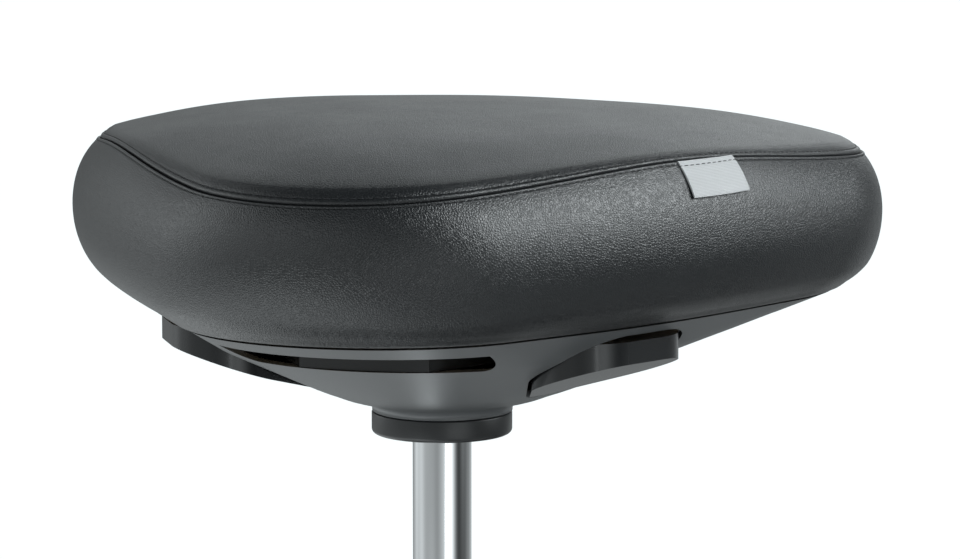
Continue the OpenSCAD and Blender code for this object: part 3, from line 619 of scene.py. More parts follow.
def floor_finish():
    """Pale paint round the stool that fades into the white of the backdrop."""
    material = finish("pale_floor", (0.95, 0.91, 0.90), 0.8, bump=0.02, swing=0.01, specular=0.1)
    tree, shader, place, _, _ = made_nodes(material)
    away = add(tree, "ShaderNodeVectorMath", operation="LENGTH")
    fade = add(tree, "ShaderNodeMapRange", {"From Min": FADE_FROM, "From Max": FADE_TO},
               interpolation_type="SMOOTHSTEP")
    white = add(tree, "ShaderNodeEmission")
    blend_in = add(tree, "ShaderNodeMixShader")
    out = next(n for n in tree.nodes if n.type == "OUTPUT_MATERIAL")
    wire(tree, (place.outputs["Object"], away.inputs[0]),
         (away.outputs["Value"], fade.inputs["Value"]),
         (fade.outputs["Result"], blend_in.inputs[0]), (shader.outputs[0], blend_in.inputs[1]),
         (white.outputs[0], blend_in.inputs[2]), (blend_in.outputs[0], out.inputs["Surface"]))
    return material


floor.data.materials.append(floor_finish())
floor.visible_diffuse = False
floor.visible_glossy = False
floor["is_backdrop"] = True

# %% [markdown]
# ## The cushion
# The saddle is upholstered in two panels: a top, and a wall that runs round the side. The wall
# bulges over soft foam, rolls under at its lower edge, and pulls in at the seam. It could be
# sculpted, but rings with named sizes keep all three sides alike and can be changed. The panels
# are first drawn as rings on the foam's shape, about six millimetres apart.

# %% Rows of the cushion before it is filled
AROUND = 180
WALL_ROWS = 16
CROWN_ROWS = 30
LOWER_START, UPPER_END = math.radians(34), math.radians(57)
CROWN_POWER, CROWN_EASE = 1.8, 0.52
CROWN_REACH = 0.985  # how far in the last ring of the crown lies, 1 being the middle
LIP_LIFT = 3.2 * MM  # how far the wall's first row lies above the rim


def roll_under_rows():
    """The wall's lower edge rolls under the foam and runs in to the board."""
    steps = [(26, 3.0), (17, 1.8), (10, 0.8), (5.5, 0.4), (2.6, 1.2)]
    return [ring(inset(RIM, s * MM), RIM_Z + z * MM, RIM_RISE, AROUND) for s, z in steps]


def wall_rows():
    """The wall: out from the rim to the girth, then in and up to the seam."""
    rows = []
    lower = WALL_ROWS // 2
    for k in range(lower + 1):
        a = LOWER_START + (math.pi / 2 - LOWER_START) * k / lower
        f = (math.sin(a) - math.sin(LOWER_START)) / (1 - math.sin(LOWER_START))
        g = 1 - math.cos(a) / math.cos(LOWER_START)
        lift = LIP_LIFT * max(0.0, 1 - 3 * g)
        rows.append(ring(mix(RIM, GIRTH, f), mix(RIM_Z, GIRTH_Z, g) + lift,
                         RIM_RISE * (1 - g), AROUND))
    for k in range(1, WALL_ROWS - lower + 1):
        a = UPPER_END * k / (WALL_ROWS - lower)
        f = (1 - math.cos(a)) / (1 - math.cos(UPPER_END))
        g = math.sin(a) / math.sin(UPPER_END)
        rows.append(ring(mix(GIRTH, SEAM, f), mix(GIRTH_Z, SEAM_Z, g), -SEAM_DIP * g, AROUND))
    return rows


def crown_rows():
    """The top panel: rings that shrink towards the middle and rise to the crown."""
    rows = []
    for k in range(1, CROWN_ROWS + 1):
        f = 1 - CROWN_REACH * k / CROWN_ROWS
        h = (1 - f**CROWN_POWER) ** CROWN_EASE
        line = (f * SEAM[0], f * SEAM[1], SEAM[2])
        rows.append(ring(line, mix(SEAM_Z, CROWN_Z, h), -SEAM_DIP * (1 - h) * f, AROUND))
    return rows


base_rows = roll_under_rows() + wall_rows() + crown_rows()
HELD_ROWS = len(roll_under_rows()) + 1
SEAM_ROW = len(roll_under_rows()) + WALL_ROWS
print("cushion rows:", len(base_rows), "seam at row", SEAM_ROW)

# %% [markdown]
# ## Filling the cushion
# Foam presses the cover out wherever nothing holds it. A short cloth simulation with pressure and
# no gravity does the same, with the seam and the lower edge pinned. Left alone it also makes
# small creases that a tight cover doesn't have, so the swell is capped and then evened out.

# %% Fill the cushion with a cloth simulation
FRAMES = 14
PRESSURE, STRETCH_STIFFNESS, BEND_STIFFNESS = 4.0, 18.0, 6.0
SWELL_CAP = 1.6 * MM
SETTLE_PASSES = 24
HOLD_ROWS = 4  # rows over which the swell grows from nothing at the seam and the hem
EVEN_ROWS = 12  # rows in the middle of the crown where the swell becomes the same all round


def settled(step):
    """The swell without its small creases: evened with its neighbours, held at seam and hem."""
    for _ in range(SETTLE_PASSES):
        around = (np.roll(step, 1, axis=1) + np.roll(step, -1, axis=1)) / 2
        ends = np.concatenate([step[:1], step, step[-1:]])
        step = (step + around + (ends[:-2] + ends[2:]) / 2) / 3
    row = np.arange(len(step))
    crown = np.clip((row - len(step) + EVEN_ROWS) / (EVEN_ROWS - 1), 0, 1)[:, None, None]
    step = step * (1 - crown) + step.mean(axis=1, keepdims=True) * crown
    beside_seam = np.clip(np.abs(row - SEAM_ROW) / HOLD_ROWS, 0, 1)
    above_hem = np.clip((row - HELD_ROWS + 1) / HOLD_ROWS, 0, 1)
    return step * (beside_seam * above_hem)[:, None, None]


def filled(rows):
    """Blows the closed cover up with the held rows pinned, and returns the moved rows."""
    cover = skin("cover_under_pressure", rows)
    pins = cover.vertex_groups.new(name="held")
    count = len(rows[0])
    pins.add(list(range(HELD_ROWS * count)), 1.0, "REPLACE")
    pins.add(list(range(SEAM_ROW * count, (SEAM_ROW + 1) * count)), 1.0, "REPLACE")
    cloth = cover.modifiers.new("cloth", "CLOTH")
    cloth.settings.use_pressure = True
    cloth.settings.uniform_pressure_force = PRESSURE
    cloth.settings.vertex_group_mass = "held"
    cloth.settings.effector_weights.gravity = 0.0
    cloth.settings.tension_stiffness = STRETCH_STIFFNESS
    cloth.settings.compression_stiffness = STRETCH_STIFFNESS
    cloth.settings.bending_stiffness = BEND_STIFFNESS
    cloth.point_cache.frame_end = FRAMES
    for frame_number in range(1, FRAMES + 1):
        scene.frame_set(frame_number)
    moved = cover.evaluated_get(bpy.context.evaluated_depsgraph_get()).data
    got = np.empty(len(moved.vertices) * 3)
    moved.vertices.foreach_get("co", got)
    scene.frame_set(1)
    bpy.data.objects.remove(cover)
    got = got.reshape(-1, 3)[: len(rows) * count].reshape(len(rows), count, 3)
    step = got - np.array(rows)
    size = np.linalg.norm(step, axis=2, keepdims=True)
    print("swell before the cap (mm): largest", round(float(size.max()) / MM, 2),
          "mean", round(float(size.mean()) / MM, 2))
    return np.array(rows) + settled(step * np.minimum(1, SWELL_CAP / np.maximum(size, 1e-9)))


pressed = filled(base_rows)

# %% [markdown]
# ## The seam
# The simulated rows are six millimetres apart, too coarse for a seam. So the final cover is read
# off them with a smooth curve, three times finer round the seat and much finer beside the seam,
# where the rows are pulled into a narrow groove with a soft puff on either side. A bump in the
# material would be cheaper, but a real groove also shows on the outline and in the mesh itself.

# %% Read a finer cover off the simulated rows
FINE = 3


def curve_through(values, at):
    """Catmull-Rom curve through the rows of values, read at the row numbers in at."""
    at = np.clip(np.asarray(at, float), 0, len(values) - 1.000001)
    i = np.floor(at).astype(int)
    t = (at - i).reshape(-1, *([1] * (values.ndim - 1)))
    last = len(values) - 1
    p0, p1 = values[np.maximum(i - 1, 0)], values[i]
    p2, p3 = values[np.minimum(i + 1, last)], values[np.minimum(i + 2, last)]
    return 0.5 * (2 * p1 + (p2 - p0) * t + (2 * p0 - 5 * p1 + 4 * p2 - p3) * t**2
                  + (3 * p1 - p0 - 3 * p2 + p3) * t**3)


def finer_round(rows):
    """The same surface with FINE times as many points round each row."""
    turned = np.swapaxes(rows, 0, 1)
    padded = np.concatenate([turned[-2:], turned, turned[:3]])
    at = 2 + np.arange(turned.shape[0] * FINE) / FINE
    return np.swapaxes(curve_through(padded, at), 0, 1)


def row_normals(rows):
    """Outward unit direction at every point of the rows."""
    along = np.gradient(rows, axis=0)
    around = np.roll(rows, -1, axis=1) - np.roll(rows, 1, axis=1)
    normal = np.cross(around, along)
    return normal / np.maximum(np.linalg.norm(normal, axis=2, keepdims=True), 1e-12)


ROW_STEP = 6 * MM
SEAM_DEPTH, SEAM_WIDTH = 2.6 * MM, 0.42 * MM
PUFF, PUFF_AT, PUFF_WIDTH = 0.4 * MM, 1.6 * MM, 0.8 * MM
STITCH_DENT, STITCH_AT, DENT_WIDTH = 0.25 * MM, 2.7 * MM, 0.42 * MM
# In rows: the step away from the seam, and what is left open below and above the fine rows.
COARSE_STEP, OPEN_BELOW, OPEN_ABOVE = 0.5, 0.3, 0.45
near = np.array([0, 0.18, 0.4, 0.7, 1.1, 1.7, 2.25, 2.7, 3.15, 3.9, 4.8]) * MM / ROW_STEP
coarse_low = np.arange(0, SEAM_ROW - near[-1] - OPEN_BELOW, COARSE_STEP)
coarse_high = np.arange(SEAM_ROW + near[-1] + OPEN_ABOVE, len(base_rows) - 1, COARSE_STEP)
row_at = np.concatenate([coarse_low, SEAM_ROW - near[::-1], SEAM_ROW + near[1:], coarse_high,
                         [len(base_rows) - 1]])
fine_rows = curve_through(finer_round(pressed), row_at)
from_seam = (row_at - SEAM_ROW) * ROW_STEP


def bump_line(distance, width):
    """A smooth bump, 1 high where the distance is 0."""
    return np.exp(-(distance / width) ** 2)


profile = (-SEAM_DEPTH * bump_line(from_seam, SEAM_WIDTH)
           + PUFF * bump_line(np.abs(from_seam) - PUFF_AT, PUFF_WIDTH)
           - STITCH_DENT * bump_line(np.abs(from_seam) - STITCH_AT, DENT_WIDTH))
plain_rows = fine_rows.copy()
normals = row_normals(fine_rows)
fine_rows = fine_rows + normals * profile[:, None, None]

cushion = smooth(skin("cushion_cover", list(fine_rows)), SOFT_TURN)
cushion.data.materials.append(LEATHER)
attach(cushion, "seat")
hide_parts("seat_foam", "seat_side_cover", "seat_top_cover")
print("cushion faces:", len(cushion.data.polygons))

# %% [markdown]
# ## The stitches
# Two rows of lockstitch run along the seam, one on each panel. One stitch is a short bead of
# thread. Geometry Nodes puts one on every step of the path and turns it to follow, which keeps
# hundreds of beads even without placing one by hand. The result is made a plain mesh.

# %% Rows of stitches with Geometry Nodes
STITCH_PITCH, STITCH_LONG, THREAD_R = 3.6 * MM, 2.9 * MM, 0.24 * MM
STITCH_PROUD = 0.05 * MM


def path_curve(name, points, closed):
    """A curve of straight steps through the points."""
    curve = bpy.data.curves.new(name, "CURVE")
    curve.dimensions = "3D"
    line = curve.splines.new("POLY")
    line.points.add(len(points) - 1)
    line.points.foreach_set("co", [c for p in points for c in (*p, 1.0)])
    line.use_cyclic_u = closed
    return link(name, curve)


def stitch_tree():
    """Puts a bead of thread on every step of a curve."""
    tree = bpy.data.node_groups.new("stitches", "GeometryNodeTree")
    face = tree.interface
    face.new_socket("Geometry", in_out="INPUT", socket_type="NodeSocketGeometry")
    for label in ("Pitch", "Length", "Radius"):
        face.new_socket(label, in_out="INPUT", socket_type=FLOAT)
    face.new_socket("Thread", in_out="INPUT", socket_type="NodeSocketMaterial")
    face.new_socket("Geometry", in_out="OUTPUT", socket_type="NodeSocketGeometry")
    given, out = add(tree, "NodeGroupInput"), add(tree, "NodeGroupOutput")
    steps = add(tree, "GeometryNodeResampleCurve", mode="LENGTH")
    bead = add(tree, "GeometryNodeMeshUVSphere", {"Segments": 6, "Rings": 4, "Radius": 0.5})
    size = add(tree, "ShaderNodeCombineXYZ")
    wide = add(tree, "ShaderNodeMath", {1: 2.0}, operation="MULTIPLY")
    tangent = add(tree, "GeometryNodeInputTangent")
    turn_to = add(tree, "FunctionNodeAlignRotationToVector", axis="Z")
    place = add(tree, "GeometryNodeInstanceOnPoints")
    real = add(tree, "GeometryNodeRealizeInstances")
    dress = add(tree, "GeometryNodeSetMaterial")
    wire(tree, (given.outputs["Geometry"], steps.inputs["Curve"]),
         (given.outputs["Pitch"], steps.inputs["Length"]),
         (given.outputs["Radius"], wide.inputs[0]),
         (wide.outputs[0], size.inputs["X"]), (wide.outputs[0], size.inputs["Y"]),
         (given.outputs["Length"], size.inputs["Z"]),
         (tangent.outputs["Tangent"], turn_to.inputs["Vector"]),
         (steps.outputs["Curve"], place.inputs["Points"]),
         (bead.outputs["Mesh"], place.inputs["Instance"]),
         (turn_to.outputs["Rotation"], place.inputs["Rotation"]),
         (size.outputs["Vector"], place.inputs["Scale"]),
         (place.outputs["Instances"], real.inputs["Geometry"]),
         (real.outputs["Geometry"], dress.inputs["Geometry"]),
         (given.outputs["Thread"], dress.inputs["Material"]),
         (dress.outputs["Geometry"], out.inputs["Geometry"]))
    return tree


STITCHES = stitch_tree()


def run_stitches(name, points, closed=True):
    """A row of stitches along the points, as a plain mesh."""
    path = path_curve(name + "_path", points, closed)
    nodes = path.modifiers.new("stitches", "NODES")
    nodes.node_group = STITCHES
    values = {"Pitch": STITCH_PITCH, "Length": STITCH_LONG, "Radius": THREAD_R, "Thread": THREAD}
    for item in STITCHES.interface.items_tree:
        if item.in_out == "INPUT" and item.name in values:
            nodes[item.identifier] = values[item.name]
    mesh = bpy.data.meshes.new_from_object(
        path.evaluated_get(bpy.context.evaluated_depsgraph_get()))
    bpy.data.objects.remove(path)
    return smooth(link(name, mesh), SOFT_TURN)


def seam_path(offset):
    """A closed path on the cover, the offset away from the seam and just proud of it."""
    row = SEAM_ROW + offset / ROW_STEP
    points = curve_through(finer_round(pressed), [row])[0]
    k = int(np.argmin(np.abs(row_at - row)))
    return points + normals[k] * STITCH_PROUD


for side_name, side_sign in (("wall", -1), ("top", 1)):
    stitches = run_stitches("stitches_" + side_name, seam_path(side_sign * STITCH_AT))
    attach(stitches, "seat")
    print("stitch faces:", len(stitches.data.polygons))

# %% [markdown]
# ## The tag
# A piece of woven tape is folded in two and sewn into the seam, so it hangs flat on the side
# wall. It could be pressed on with a Shrinkwrap modifier, but that follows the seam's groove. So
# rays are shot at the cushion as it is without the groove, and the tape is laid a hair outside of
# it. The tag is bare on purpose.

# %% Folded tape on the side wall
TAG_AZ = math.radians(-30)
TAG_FROM, TAG_WIDE, TAG_LONG = -6.3 * MM, 38 * MM, 18.5 * MM
TAG_THICK, TAG_CLEAR, TAG_FLARE = 0.75 * MM, 0.15 * MM, 0.75 * MM
TAG_COLS, TAG_ROWS = 28, 36
FLARE_POWER, BELLY = 2.5, 0.12  # how late the tape lifts off, how much thicker its middle is
GROOVE_WIDTH, GROOVE_SHARE = 0.5 * MM, 0.5
THREAD_LIFT = 0.08  # mm, of the stitches over the tape
HEM_SHARE = 0.72  # thickness left at the lower edge
RAY_FROM = 0.4
PROBE_STEP, PROBES = 0.45 * MM, 90
TOP_TUCK = 0.6 * MM  # how far under the seam the tape comes out
plain_points = plain_rows.reshape(-1, 3)
round_count = plain_rows.shape[1]
plain_faces = [(r * round_count + i, r * round_count + (i + 1) % round_count,
                (r + 1) * round_count + (i + 1) % round_count, (r + 1) * round_count + i)
               for r in range(len(plain_rows) - 1) for i in range(round_count)]
cushion_tree = BVHTree.FromPolygons([Vector(p) for p in plain_points], plain_faces)
tag_out = Vector((math.cos(TAG_AZ), math.sin(TAG_AZ), 0))
tag_side = Vector((-math.sin(TAG_AZ), math.cos(TAG_AZ), 0))


def on_cushion(across, height):
    """Where a level ray from outside, along the tag's direction, meets the cushion."""
    start = tag_side * across + tag_out * RAY_FROM + Vector((0, 0, height))
    point, normal, _, _ = cushion_tree.ray_cast(start, -tag_out)
    return point, normal


def hang(across, length):
    """Walks down the wall from the seam and returns evenly spaced points."""
    top = SEAM_Z + SEAM_DIP - TOP_TUCK
    line = [on_cushion(across, top - PROBE_STEP * k)[0] for k in range(PROBES)]
    walked = np.cumsum([0.0] + [(b - a).length for a, b in zip(line, line[1:])])
    rows = []
    for k in range(TAG_ROWS + 1):
        want = length * k / TAG_ROWS
        i = int(np.searchsorted(walked, want, side="right")) - 1
        share = (want - walked[i]) / (walked[i + 1] - walked[i])
        rows.append(line[i].lerp(line[i + 1], share))
    return rows


tag_columns = [hang(TAG_FROM + TAG_WIDE * c / TAG_COLS, TAG_LONG) for c in range(TAG_COLS + 1)]
tag_normal = on_cushion(TAG_FROM + TAG_WIDE / 2, SEAM_Z + SEAM_DIP - TAG_LONG / 2)[1]


def tape_point(c, k, outside):
    """A point of the tape: column c across, row k down, on its outer or its inner face."""
    t = k / TAG_ROWS
    lift = TAG_CLEAR + TAG_FLARE * t**FLARE_POWER
    groove = math.exp(-((TAG_LONG * t - STITCH_AT) / GROOVE_WIDTH) ** 2)
    thick = TAG_THICK * (1 - BELLY * math.cos(2 * math.pi * t) - GROOVE_SHARE * groove)
    if k == TAG_ROWS:
        thick *= HEM_SHARE
    return tag_columns[c][k] + tag_normal * (lift + (thick if outside else 0.0))


def tag_loops():
    """Loops round the folded tape, from the fold up: inner face one way, outer face back."""
    across = range(TAG_COLS + 1)
    return [[tuple(tape_point(c, k, False)) for c in across]
            + [tuple(tape_point(c, k, True)) for c in reversed(across)]
            for k in range(TAG_ROWS, -1, -1)]


tag = smooth(skin("side_tag_tape", tag_loops()), TAPE_TURN)
tag.data.materials.append(TAG)
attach(tag, "seat")
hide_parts("side_tag")
stitch_row = round(STITCH_AT / TAG_LONG * TAG_ROWS)
tag_line = [tape_point(c, stitch_row, True) + tag_normal * THREAD_LIFT * MM
            for c in range(TAG_COLS + 1)]
tag_stitches = run_stitches("tag_stitches", tag_line, closed=False)
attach(tag_stitches, "seat")
print("tag faces:", len(tag.data.polygons), "stitches on it:", len(tag_stitches.data.polygons))

# %% [markdown]
# ## Tools for the hard pieces
# Below the cushion everything is moulded, pressed or turned. A turned piece is a profile swept
# round the axis, and a moulded one is a loft that cutters open. Real edges are never sharp, so
# profiles get their corners rounded before they are turned.

# %% Helpers for turned and cut pieces
def near_circle(radius):
    """A nearly round outline, whose flat sides lie 1.5 % nearer the axis than its corners."""
    return (radius, radius * 0.985, 0.02)


def turned(name, profile, steps):
    """A body of revolution. The profile is a closed line of (radius, height), outside going up."""
    angles = np.linspace(0, 2 * math.pi, steps, endpoint=False)
    rings = [np.column_stack([r * np.cos(angles), r * np.sin(angles), np.full(steps, z)])
             for r, z in profile]
    return skin(name, rings, closed_ring=True)


EASE_STEPS = 5


def eased(profile, radii):
    """Rounds the corners of a closed line: radii gives one radius for each corner, 0 for none."""
    points, count = [], len(profile)
    for k, (corner, radius) in enumerate(zip(profile, radii)):
        if radius <= 0:
            points.append(corner)
            continue
        corner = np.array(corner)
        before, after = np.array(profile[k - 1]), np.array(profile[(k + 1) % count])
        a = (before - corner) / np.linalg.norm(before - corner)
        b = (after - corner) / np.linalg.norm(after - corner)
        half = math.acos(max(-1, min(1, float(a @ b)))) / 2
        reach = radius / math.tan(half)
        middle = corner + (a + b) / np.linalg.norm(a + b) * radius / math.sin(half)
        start, end = corner + a * reach - middle, corner + b * reach - middle
        sweep = math.pi - 2 * half
        for j in range(EASE_STEPS + 1):
            t = j / EASE_STEPS
            w = (math.sin((1 - t) * sweep) * start + math.sin(t * sweep) * end) / math.sin(sweep)
            points.append(tuple(middle + w))
    return points


def prism(name, outline_2d, low, high, matrix):
    """Prism on an anticlockwise outline, put in place by the matrix: a cutter or a post."""
    count = len(outline_2d)
    verts = [(x, y, low) for x, y in outline_2d] + [(x, y, high) for x, y in outline_2d]
    faces = [tuple(range(count))[::-1], tuple(range(count, 2 * count))]
    faces += [(i, (i + 1) % count, count + (i + 1) % count, count + i) for i in range(count)]
    mesh = bpy.data.meshes.new(name)
    mesh.from_pydata(verts, [], faces)
    mesh.transform(matrix)
    mesh.update()
    return link(name, mesh)


def merge(name, objects):
    """Joins meshes into one object without changing them."""
    work = bmesh.new()
    for obj in objects:
        work.from_mesh(obj.data)
        bpy.data.objects.remove(obj)
    mesh = bpy.data.meshes.new(name)
    work.to_mesh(mesh)
    work.free()
    return link(name, mesh)


def cut(obj, cutter):
    """Takes the cutter's shape out of the object."""
    hole = obj.modifiers.new("cut", "BOOLEAN")
    hole.operation = "DIFFERENCE"
    hole.solver = "EXACT"
    hole.object = cutter
    apply_modifiers(obj)
    bpy.data.objects.remove(cutter)


def turn_z(angle):
    """A turn about the stool's axis."""
    return Matrix.Rotation(angle, 4, "Z")


CORNERS = [CORNER_AZ + k * 2 * math.pi / 3 for k in range(3)]
FLATS = [a + math.pi / 3 for a in CORNERS]

# %% [markdown]
# ## The under-shell
# The moulded shell starts round at the collar, opens as a cone to a shoulder and then grows into
# the three-cornered rim, under the cushion. It could be modelled by hand with a subdivision
# surface. A loft through rings was chosen, because both faces of the wall then come from one
# function: the outer one as it is, and the inner one moved in by the wall.

# %% The faces of the shell
SHELL_RIM = (192.5 * MM, 140.5 * MM, 0.03)
SHOULDER = (120 * MM, 107 * MM, 0.02)
NECK_R, FUNNEL_R = 27 * MM, 34 * MM
FUNNEL_Z, SHOULDER_Z, SHELL_TOP = (COLLAR_Z + z * MM for z in (11, 45, 67.3))
SHELL_WALL_IN, SHELL_UP, RIM_LAND = 1.5 * MM, 2.85 * MM, 4 * MM
SHELL_AROUND = 240
BASE_SWEEP = ((33.7, 11.0), (33.9, 12.6), (35.6, 14.4), (40, 16.3), (50, 18.7))
SLOT_LOW, SLOT_HIGH, SLOT_HALF = COLLAR_Z + 49.3 * MM, COLLAR_Z + 60.5 * MM, 62 * MM
SLOT_FROM, SLOT_TO = 95 * MM, 215 * MM  # how far from the axis the slot's cutter starts and ends
OPENING_LOW, OPENING_TOP = COLLAR_Z + 18 * MM, COLLAR_Z + 62.3 * MM
PADDLE_GAP = 1.6 * MM
SHOULDER_TAPER = 0.2  # share of its height that the wall loses from the cone to the shoulder
NECK_FOOT, NECK_DROP, NECK_LEDGE = 1.5 * MM, 0.2 * MM, 0.6 * MM
CONE_AT, RIM_AT = (0.38, 0.7), (0.12, 0.4, 0.7, 1)  # where the loft's rings lie on each stretch
LOFT_STEP = 0.25


def shell_face(s, up):
    """Rings of the funnel's face, s inside it and up above it: sweep, cone, shoulder, rim."""
    land = RIM_LAND if s > 0 else 0.0
    control = [ring(inset(near_circle(r * MM), s), COLLAR_Z + z * MM + up, 0, SHELL_AROUND)
               for r, z in BASE_SWEEP]
    control += [ring(mix(inset(near_circle(FUNNEL_R), s), inset(SHOULDER, s), t),
                     mix(FUNNEL_Z, SHOULDER_Z, t) + up * (1 - SHOULDER_TAPER * t), 0, SHELL_AROUND)
                for t in CONE_AT]
    control += [ring(mix(inset(SHOULDER, s), inset(SHELL_RIM, s + land), t),
                     mix(SHOULDER_Z, SHELL_TOP, t) + (1 - SHOULDER_TAPER) * up * (1 - t),
                     RIM_RISE * t, SHELL_AROUND)
                for t in RIM_AT]
    steps = np.arange(0, len(control) - 1 + 0.001, LOFT_STEP)
    return list(curve_through(np.array(control), steps))


def neck_face(s, up):
    """Rings of the short neck that stands in the collar, s inside its face and up above it."""
    line, top = inset(near_circle(NECK_R), s), FUNNEL_Z - NECK_DROP + up
    return [ring(line, COLLAR_Z + NECK_FOOT, 0, SHELL_AROUND), ring(line, top, 0, SHELL_AROUND),
            ring(inset(near_circle(FUNNEL_R), s + NECK_LEDGE), top, 0, SHELL_AROUND)]


# %% [markdown]
# ### Slots and openings
# The release plate's edge shows through a slot under each corner, and a paddle comes out under
# each flat side. On the real moulding the tool leaves them open. Here each is cut by a prism that
# is a little larger than what passes through it.

# %% Slots and openings
def rounded_slot():
    """Outline across and up of a corner slot: straight top edge, lower corners rounded."""
    deep = SLOT_HIGH - SLOT_LOW
    flat = SLOT_HALF - deep
    right = [(flat + deep * math.sin(a), SLOT_HIGH - deep * math.cos(a))
             for a in np.linspace(0, math.pi / 2, 12)]
    return right + [(-x, z) for x, z in right[::-1]]


# A paddle's reach, corner radius, half the distance between its corners' middles, root, and the
# radius of its root.
PADDLE_PLAN = tuple(v * MM for v in (132, 25.5, 11.5, 63, 12))


def leaf(grow):
    """Plan of a paddle along +X, grown by a gap: two round outer corners and a round root."""
    reach, big, half, root, small = PADDLE_PLAN
    round_out, round_in = big + grow, small + grow
    far, near_x = (reach - big, half), root + small
    run = math.hypot(far[0] - near_x, half)
    lean = math.acos((round_in - round_out) / run) + math.atan2(half, far[0] - near_x)
    outer = [(far[0] + round_out * math.cos(a), far[1] + round_out * math.sin(a))
             for a in np.linspace(0, lean, 22)]
    inner = [(near_x + round_in * math.cos(a), round_in * math.sin(a))
             for a in np.linspace(lean, math.pi, 14)]
    upper = outer + inner
    return upper + [(x, -y) for x, y in upper[-2:0:-1]]


shell = skin("moulded_shell", neck_face(0, 0) + shell_face(0, 0)
             + (neck_face(SHELL_WALL_IN, SHELL_UP) + shell_face(SHELL_WALL_IN, SHELL_UP))[::-1],
             closed_ring=True)
across_to_space = Matrix(((0, 0, 1, 0), (1, 0, 0, 0), (0, 1, 0, 0), (0, 0, 0, 1)))
cutters = [prism("slot", rounded_slot(), SLOT_FROM, SLOT_TO, turn_z(a) @ across_to_space)
           for a in CORNERS]
cutters += [prism("opening", leaf(PADDLE_GAP), OPENING_LOW, OPENING_TOP, turn_z(a)) for a in FLATS]
for cutter in cutters:
    cut(shell, cutter)


# %% [markdown]
# ### Posts inside the shell
# Short posts stand on the funnel's inner face: one under each corner of the board, and one for
# each ledge that the release plate tips on. They start inside the wall, so they don't poke
# through the outer face, and they are kept in one piece with the shell.

# %% Posts
POST_R, POST_SIDES, POST_LIFT = 4.7 * MM, 40, 2.2 * MM
SEAT_GAP = 0.3 * MM  # between a post and what rests on it
PLATE_LOW = COLLAR_Z + 49.6 * MM
BOARD_POST, LEDGE_POST = 96 * MM, 112 * MM


def disc(radius, count):
    """Outline of a round post."""
    return [(radius * math.cos(2 * math.pi * k / count), radius * math.sin(2 * math.pi * k / count))
            for k in range(count)]


def skin_height(reach):
    """Height of the funnel's outer face under a corner."""
    if reach < SHOULDER[0]:
        return mix(FUNNEL_Z, SHOULDER_Z, (reach - FUNNEL_R) / (SHOULDER[0] - FUNNEL_R))
    return mix(SHOULDER_Z, SHELL_TOP, (reach - SHOULDER[0]) / (SHELL_RIM[0] - SHOULDER[0]))


posts = []
for angle in CORNERS:
    for reach, top in ((BOARD_POST, BOARD_LOW - SEAT_GAP), (LEDGE_POST, PLATE_LOW - SEAT_GAP)):
        posts.append(prism("post", disc(POST_R, POST_SIDES), skin_height(reach) + POST_LIFT, top,
                           turn_z(angle) @ Matrix.Translation((reach, 0, 0))))
shell = merge("moulded_shell", [shell] + posts)
smooth(shell, HARD_TURN)
shell.data.materials.append(SHELL)
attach(shell, "seat")
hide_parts("under_shell")
print("shell faces after cutting:", len(shell.data.polygons))

# %% [markdown]
# ## Pieces taken from the working model and softened
# The flat-sided pieces keep the working model's own mesh. Its doubled points are merged, the flat
# faces are joined, and every sharp edge gets a small rounding, which is what catches the light on
# real mouldings and pressings. Drawing them again would only risk a second, different shape.

# %% Softened copies
SHARP, FLAT, DOUBLES, BEVEL_STEPS = math.radians(40), math.radians(1.0), 0.02 * MM, 2


def softened(node, body, slot, width, name):
    """A copy of a node's mesh with every sharp edge rounded by the width."""
    work = bmesh.new()
    work.from_mesh(NODES[node].data)
    bmesh.ops.remove_doubles(work, verts=work.verts, dist=DOUBLES)
    bmesh.ops.dissolve_limit(work, angle_limit=FLAT, verts=work.verts, edges=work.edges)
    edges = [e for e in work.edges if len(e.link_faces) == 2 and e.calc_face_angle(0) > SHARP]
    bmesh.ops.bevel(work, geom=edges, offset=width, offset_type="OFFSET", segments=BEVEL_STEPS,
                    profile=0.5, affect="EDGES", clamp_overlap=True)
    mesh = bpy.data.meshes.new(name)
    work.to_mesh(mesh)
    work.free()
    made = smooth(link(name, mesh), ROUNDED_TURN)
    made.data.materials.append(SLOT_FINISH[slot])
    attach(made, body)
    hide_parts(node)


softened("release_plate", "lever_plate", "paddle_plastic", 0.9 * MM, "paddles_and_plate")
softened("seat_bracket", "seat", "bracket_paint", 0.5 * MM, "pressed_bracket")
softened("seat_board", "seat", "plywood", 0.6 * MM, "moulded_board")

# %% [markdown]
# ## Turned pieces
# The outer pieces on the column's axis are drawn again as fine bodies of revolution with eased
# edges, because the working model's facets would show in chrome. The collar is first: a low cup
# that the shell's neck stands in. It is a darker plastic than the shell, so it has a finish of its
# own.

# %% The collar
COLUMN_SIDES, FOOT_SIDES = 160, 240


def turned_piece(name, node, body, slot, profile, radii, steps=COLUMN_SIDES, look=None):
    """Turns a profile in mm, with a radius for each corner. look is a finish of its own."""
    line = eased([(r * MM, z * MM) for r, z in profile], [v * MM for v in radii])
    made = smooth(turned(name, line, steps), HARD_TURN)
    made.data.materials.append(look or SLOT_FINISH[slot])
    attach(made, body)
    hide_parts(node)


c0 = COLLAR_Z / MM
turned_piece("collar_cup", "shell_collar", "seat", "shell_plastic",
             [(15.5, c0), (33.5, c0), (33.5, c0 + 10.5), (27.3, c0 + 10.5), (27.3, c0 + 1.2),
              (15.5, c0 + 1.2)], [0.4, 2.2, 0.7, 0.2, 0.4, 0.2], look=COLLAR)

# %% [markdown]
# ## Cylinder and stand
# The gas lift's cylinder is hard chromed and slides in the stand tube, which is powder coated and
# has a plastic trim on its mouth. The cylinder is hollow and tapers at its top, where the seat
# sits on it. Heights are read from the working model, and radii are written here in millimetres.

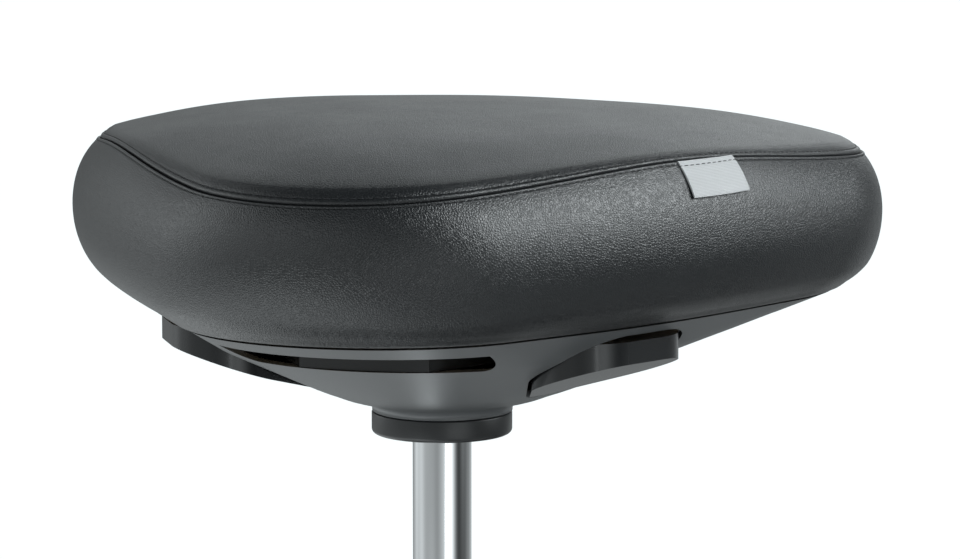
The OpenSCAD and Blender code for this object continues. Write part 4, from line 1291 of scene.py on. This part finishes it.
# %% The chromed cylinder and the stand
cyl_lo, cyl_hi = (v.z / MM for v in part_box("gas_cylinder"))
turned_piece("chromed_cylinder", "gas_cylinder", "seat", "chrome",
             [(12, cyl_lo), (14, cyl_lo), (14, cyl_hi - 40), (13, cyl_hi), (7, cyl_hi),
              (7, cyl_hi - 60), (12, cyl_hi - 64)], [0.3, 0.8, 0, 0.8, 0.3, 0, 0])
tube_lo, tube_hi = (v.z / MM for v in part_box("stand_tube"))
turned_piece("stand_tube_painted", "stand_tube", "stand", "tube_paint",
             [(23.2, tube_lo), (25, tube_lo), (25, tube_hi), (23.2, tube_hi)], [0.3, 0.6, 0.6, 0.3])
turned_piece("tube_mouth_trim", "tube_trim", "stand", "foot_plastic",
             [(25.02, tube_hi - 10), (27.5, tube_hi - 10), (27.5, tube_hi + 4.6),
              (15.2, tube_hi + 4.6), (15.2, tube_hi + 2.1), (25.02, tube_hi + 2.1)],
             [0.2, 0.8, 2.2, 1.2, 0.2, 0])

# %% [markdown]
# ## The foot
# A moulded cover hides the steel plate: an upright edge, a shallow dome, and a hollow sweep up to
# the tube. The dome and the sweep are quarter ellipses, so the line has no kink where they meet.
# A rubber ring guards the edge, and a rubber pad carries the stool.

# %% The foot
foot_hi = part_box("foot_cover")[1].z / MM
COVER_OUT, COVER_FOOT, COVER_EDGE, COVER_BULGE, COVER_WALL = 183, 13.8, 15.5, 6.5, 2.5
TUBE_R, SWEEP = 25, 36


def cover_line(s):
    """The foot cover's face, s inside it: upright edge, shallow dome, hollow sweep to the tube."""
    out = COVER_OUT - s
    dome = [(mix(out, TUBE_R + SWEEP + 6, 1 - math.cos(a)),
             COVER_EDGE + (COVER_BULGE - s) * math.sin(a))
            for a in np.linspace(0, math.pi / 2, 30)]
    sweep = [(TUBE_R + 0.4 + (SWEEP + 5.6) * (1 - math.sin(a)), foot_hi - s - SWEEP * math.cos(a))
             for a in np.linspace(0, math.pi / 2, 40)[1:]]
    return [(out, COVER_FOOT)] + dome + sweep


turned_piece("foot_dome", "foot_cover", "stand", "foot_plastic",
             cover_line(0) + cover_line(COVER_WALL)[::-1], [0] * (2 * len(cover_line(0))),
             FOOT_SIDES)
turned_piece("foot_ring", "foot_bumper", "stand", "rubber",
             [(173.3, 2.2), (179, 2.2), (185, 5.0), (185, 11.2), (181, 13.2), (173.3, 13.2)],
             [0.3, 1.5, 3.4, 3.0, 1.8, 0.2], FOOT_SIDES)
turned_piece("floor_rubber", "floor_pad", "stand", "rubber",
             [(0.2, 0), (159, 0), (169, 1.2), (172, 3.9), (0.2, 3.9)], [0, 1.0, 3.0, 0.3, 0],
             FOOT_SIDES)

# %% [markdown]
# ## The change of size
# Dressing a model may change its size by a hair, as the swell of the cushion does, and no more.
# So the box from before is set beside the box from now, and the change between them is printed.

# %% Print the change of size
before = [list(cad_lo), list(cad_hi)]
after = [list(v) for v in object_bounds()]
change = [[round((a - b) / MM, 1) for a, b in zip(*pair)] for pair in zip(after, before)]
print("size change (mm):", change)
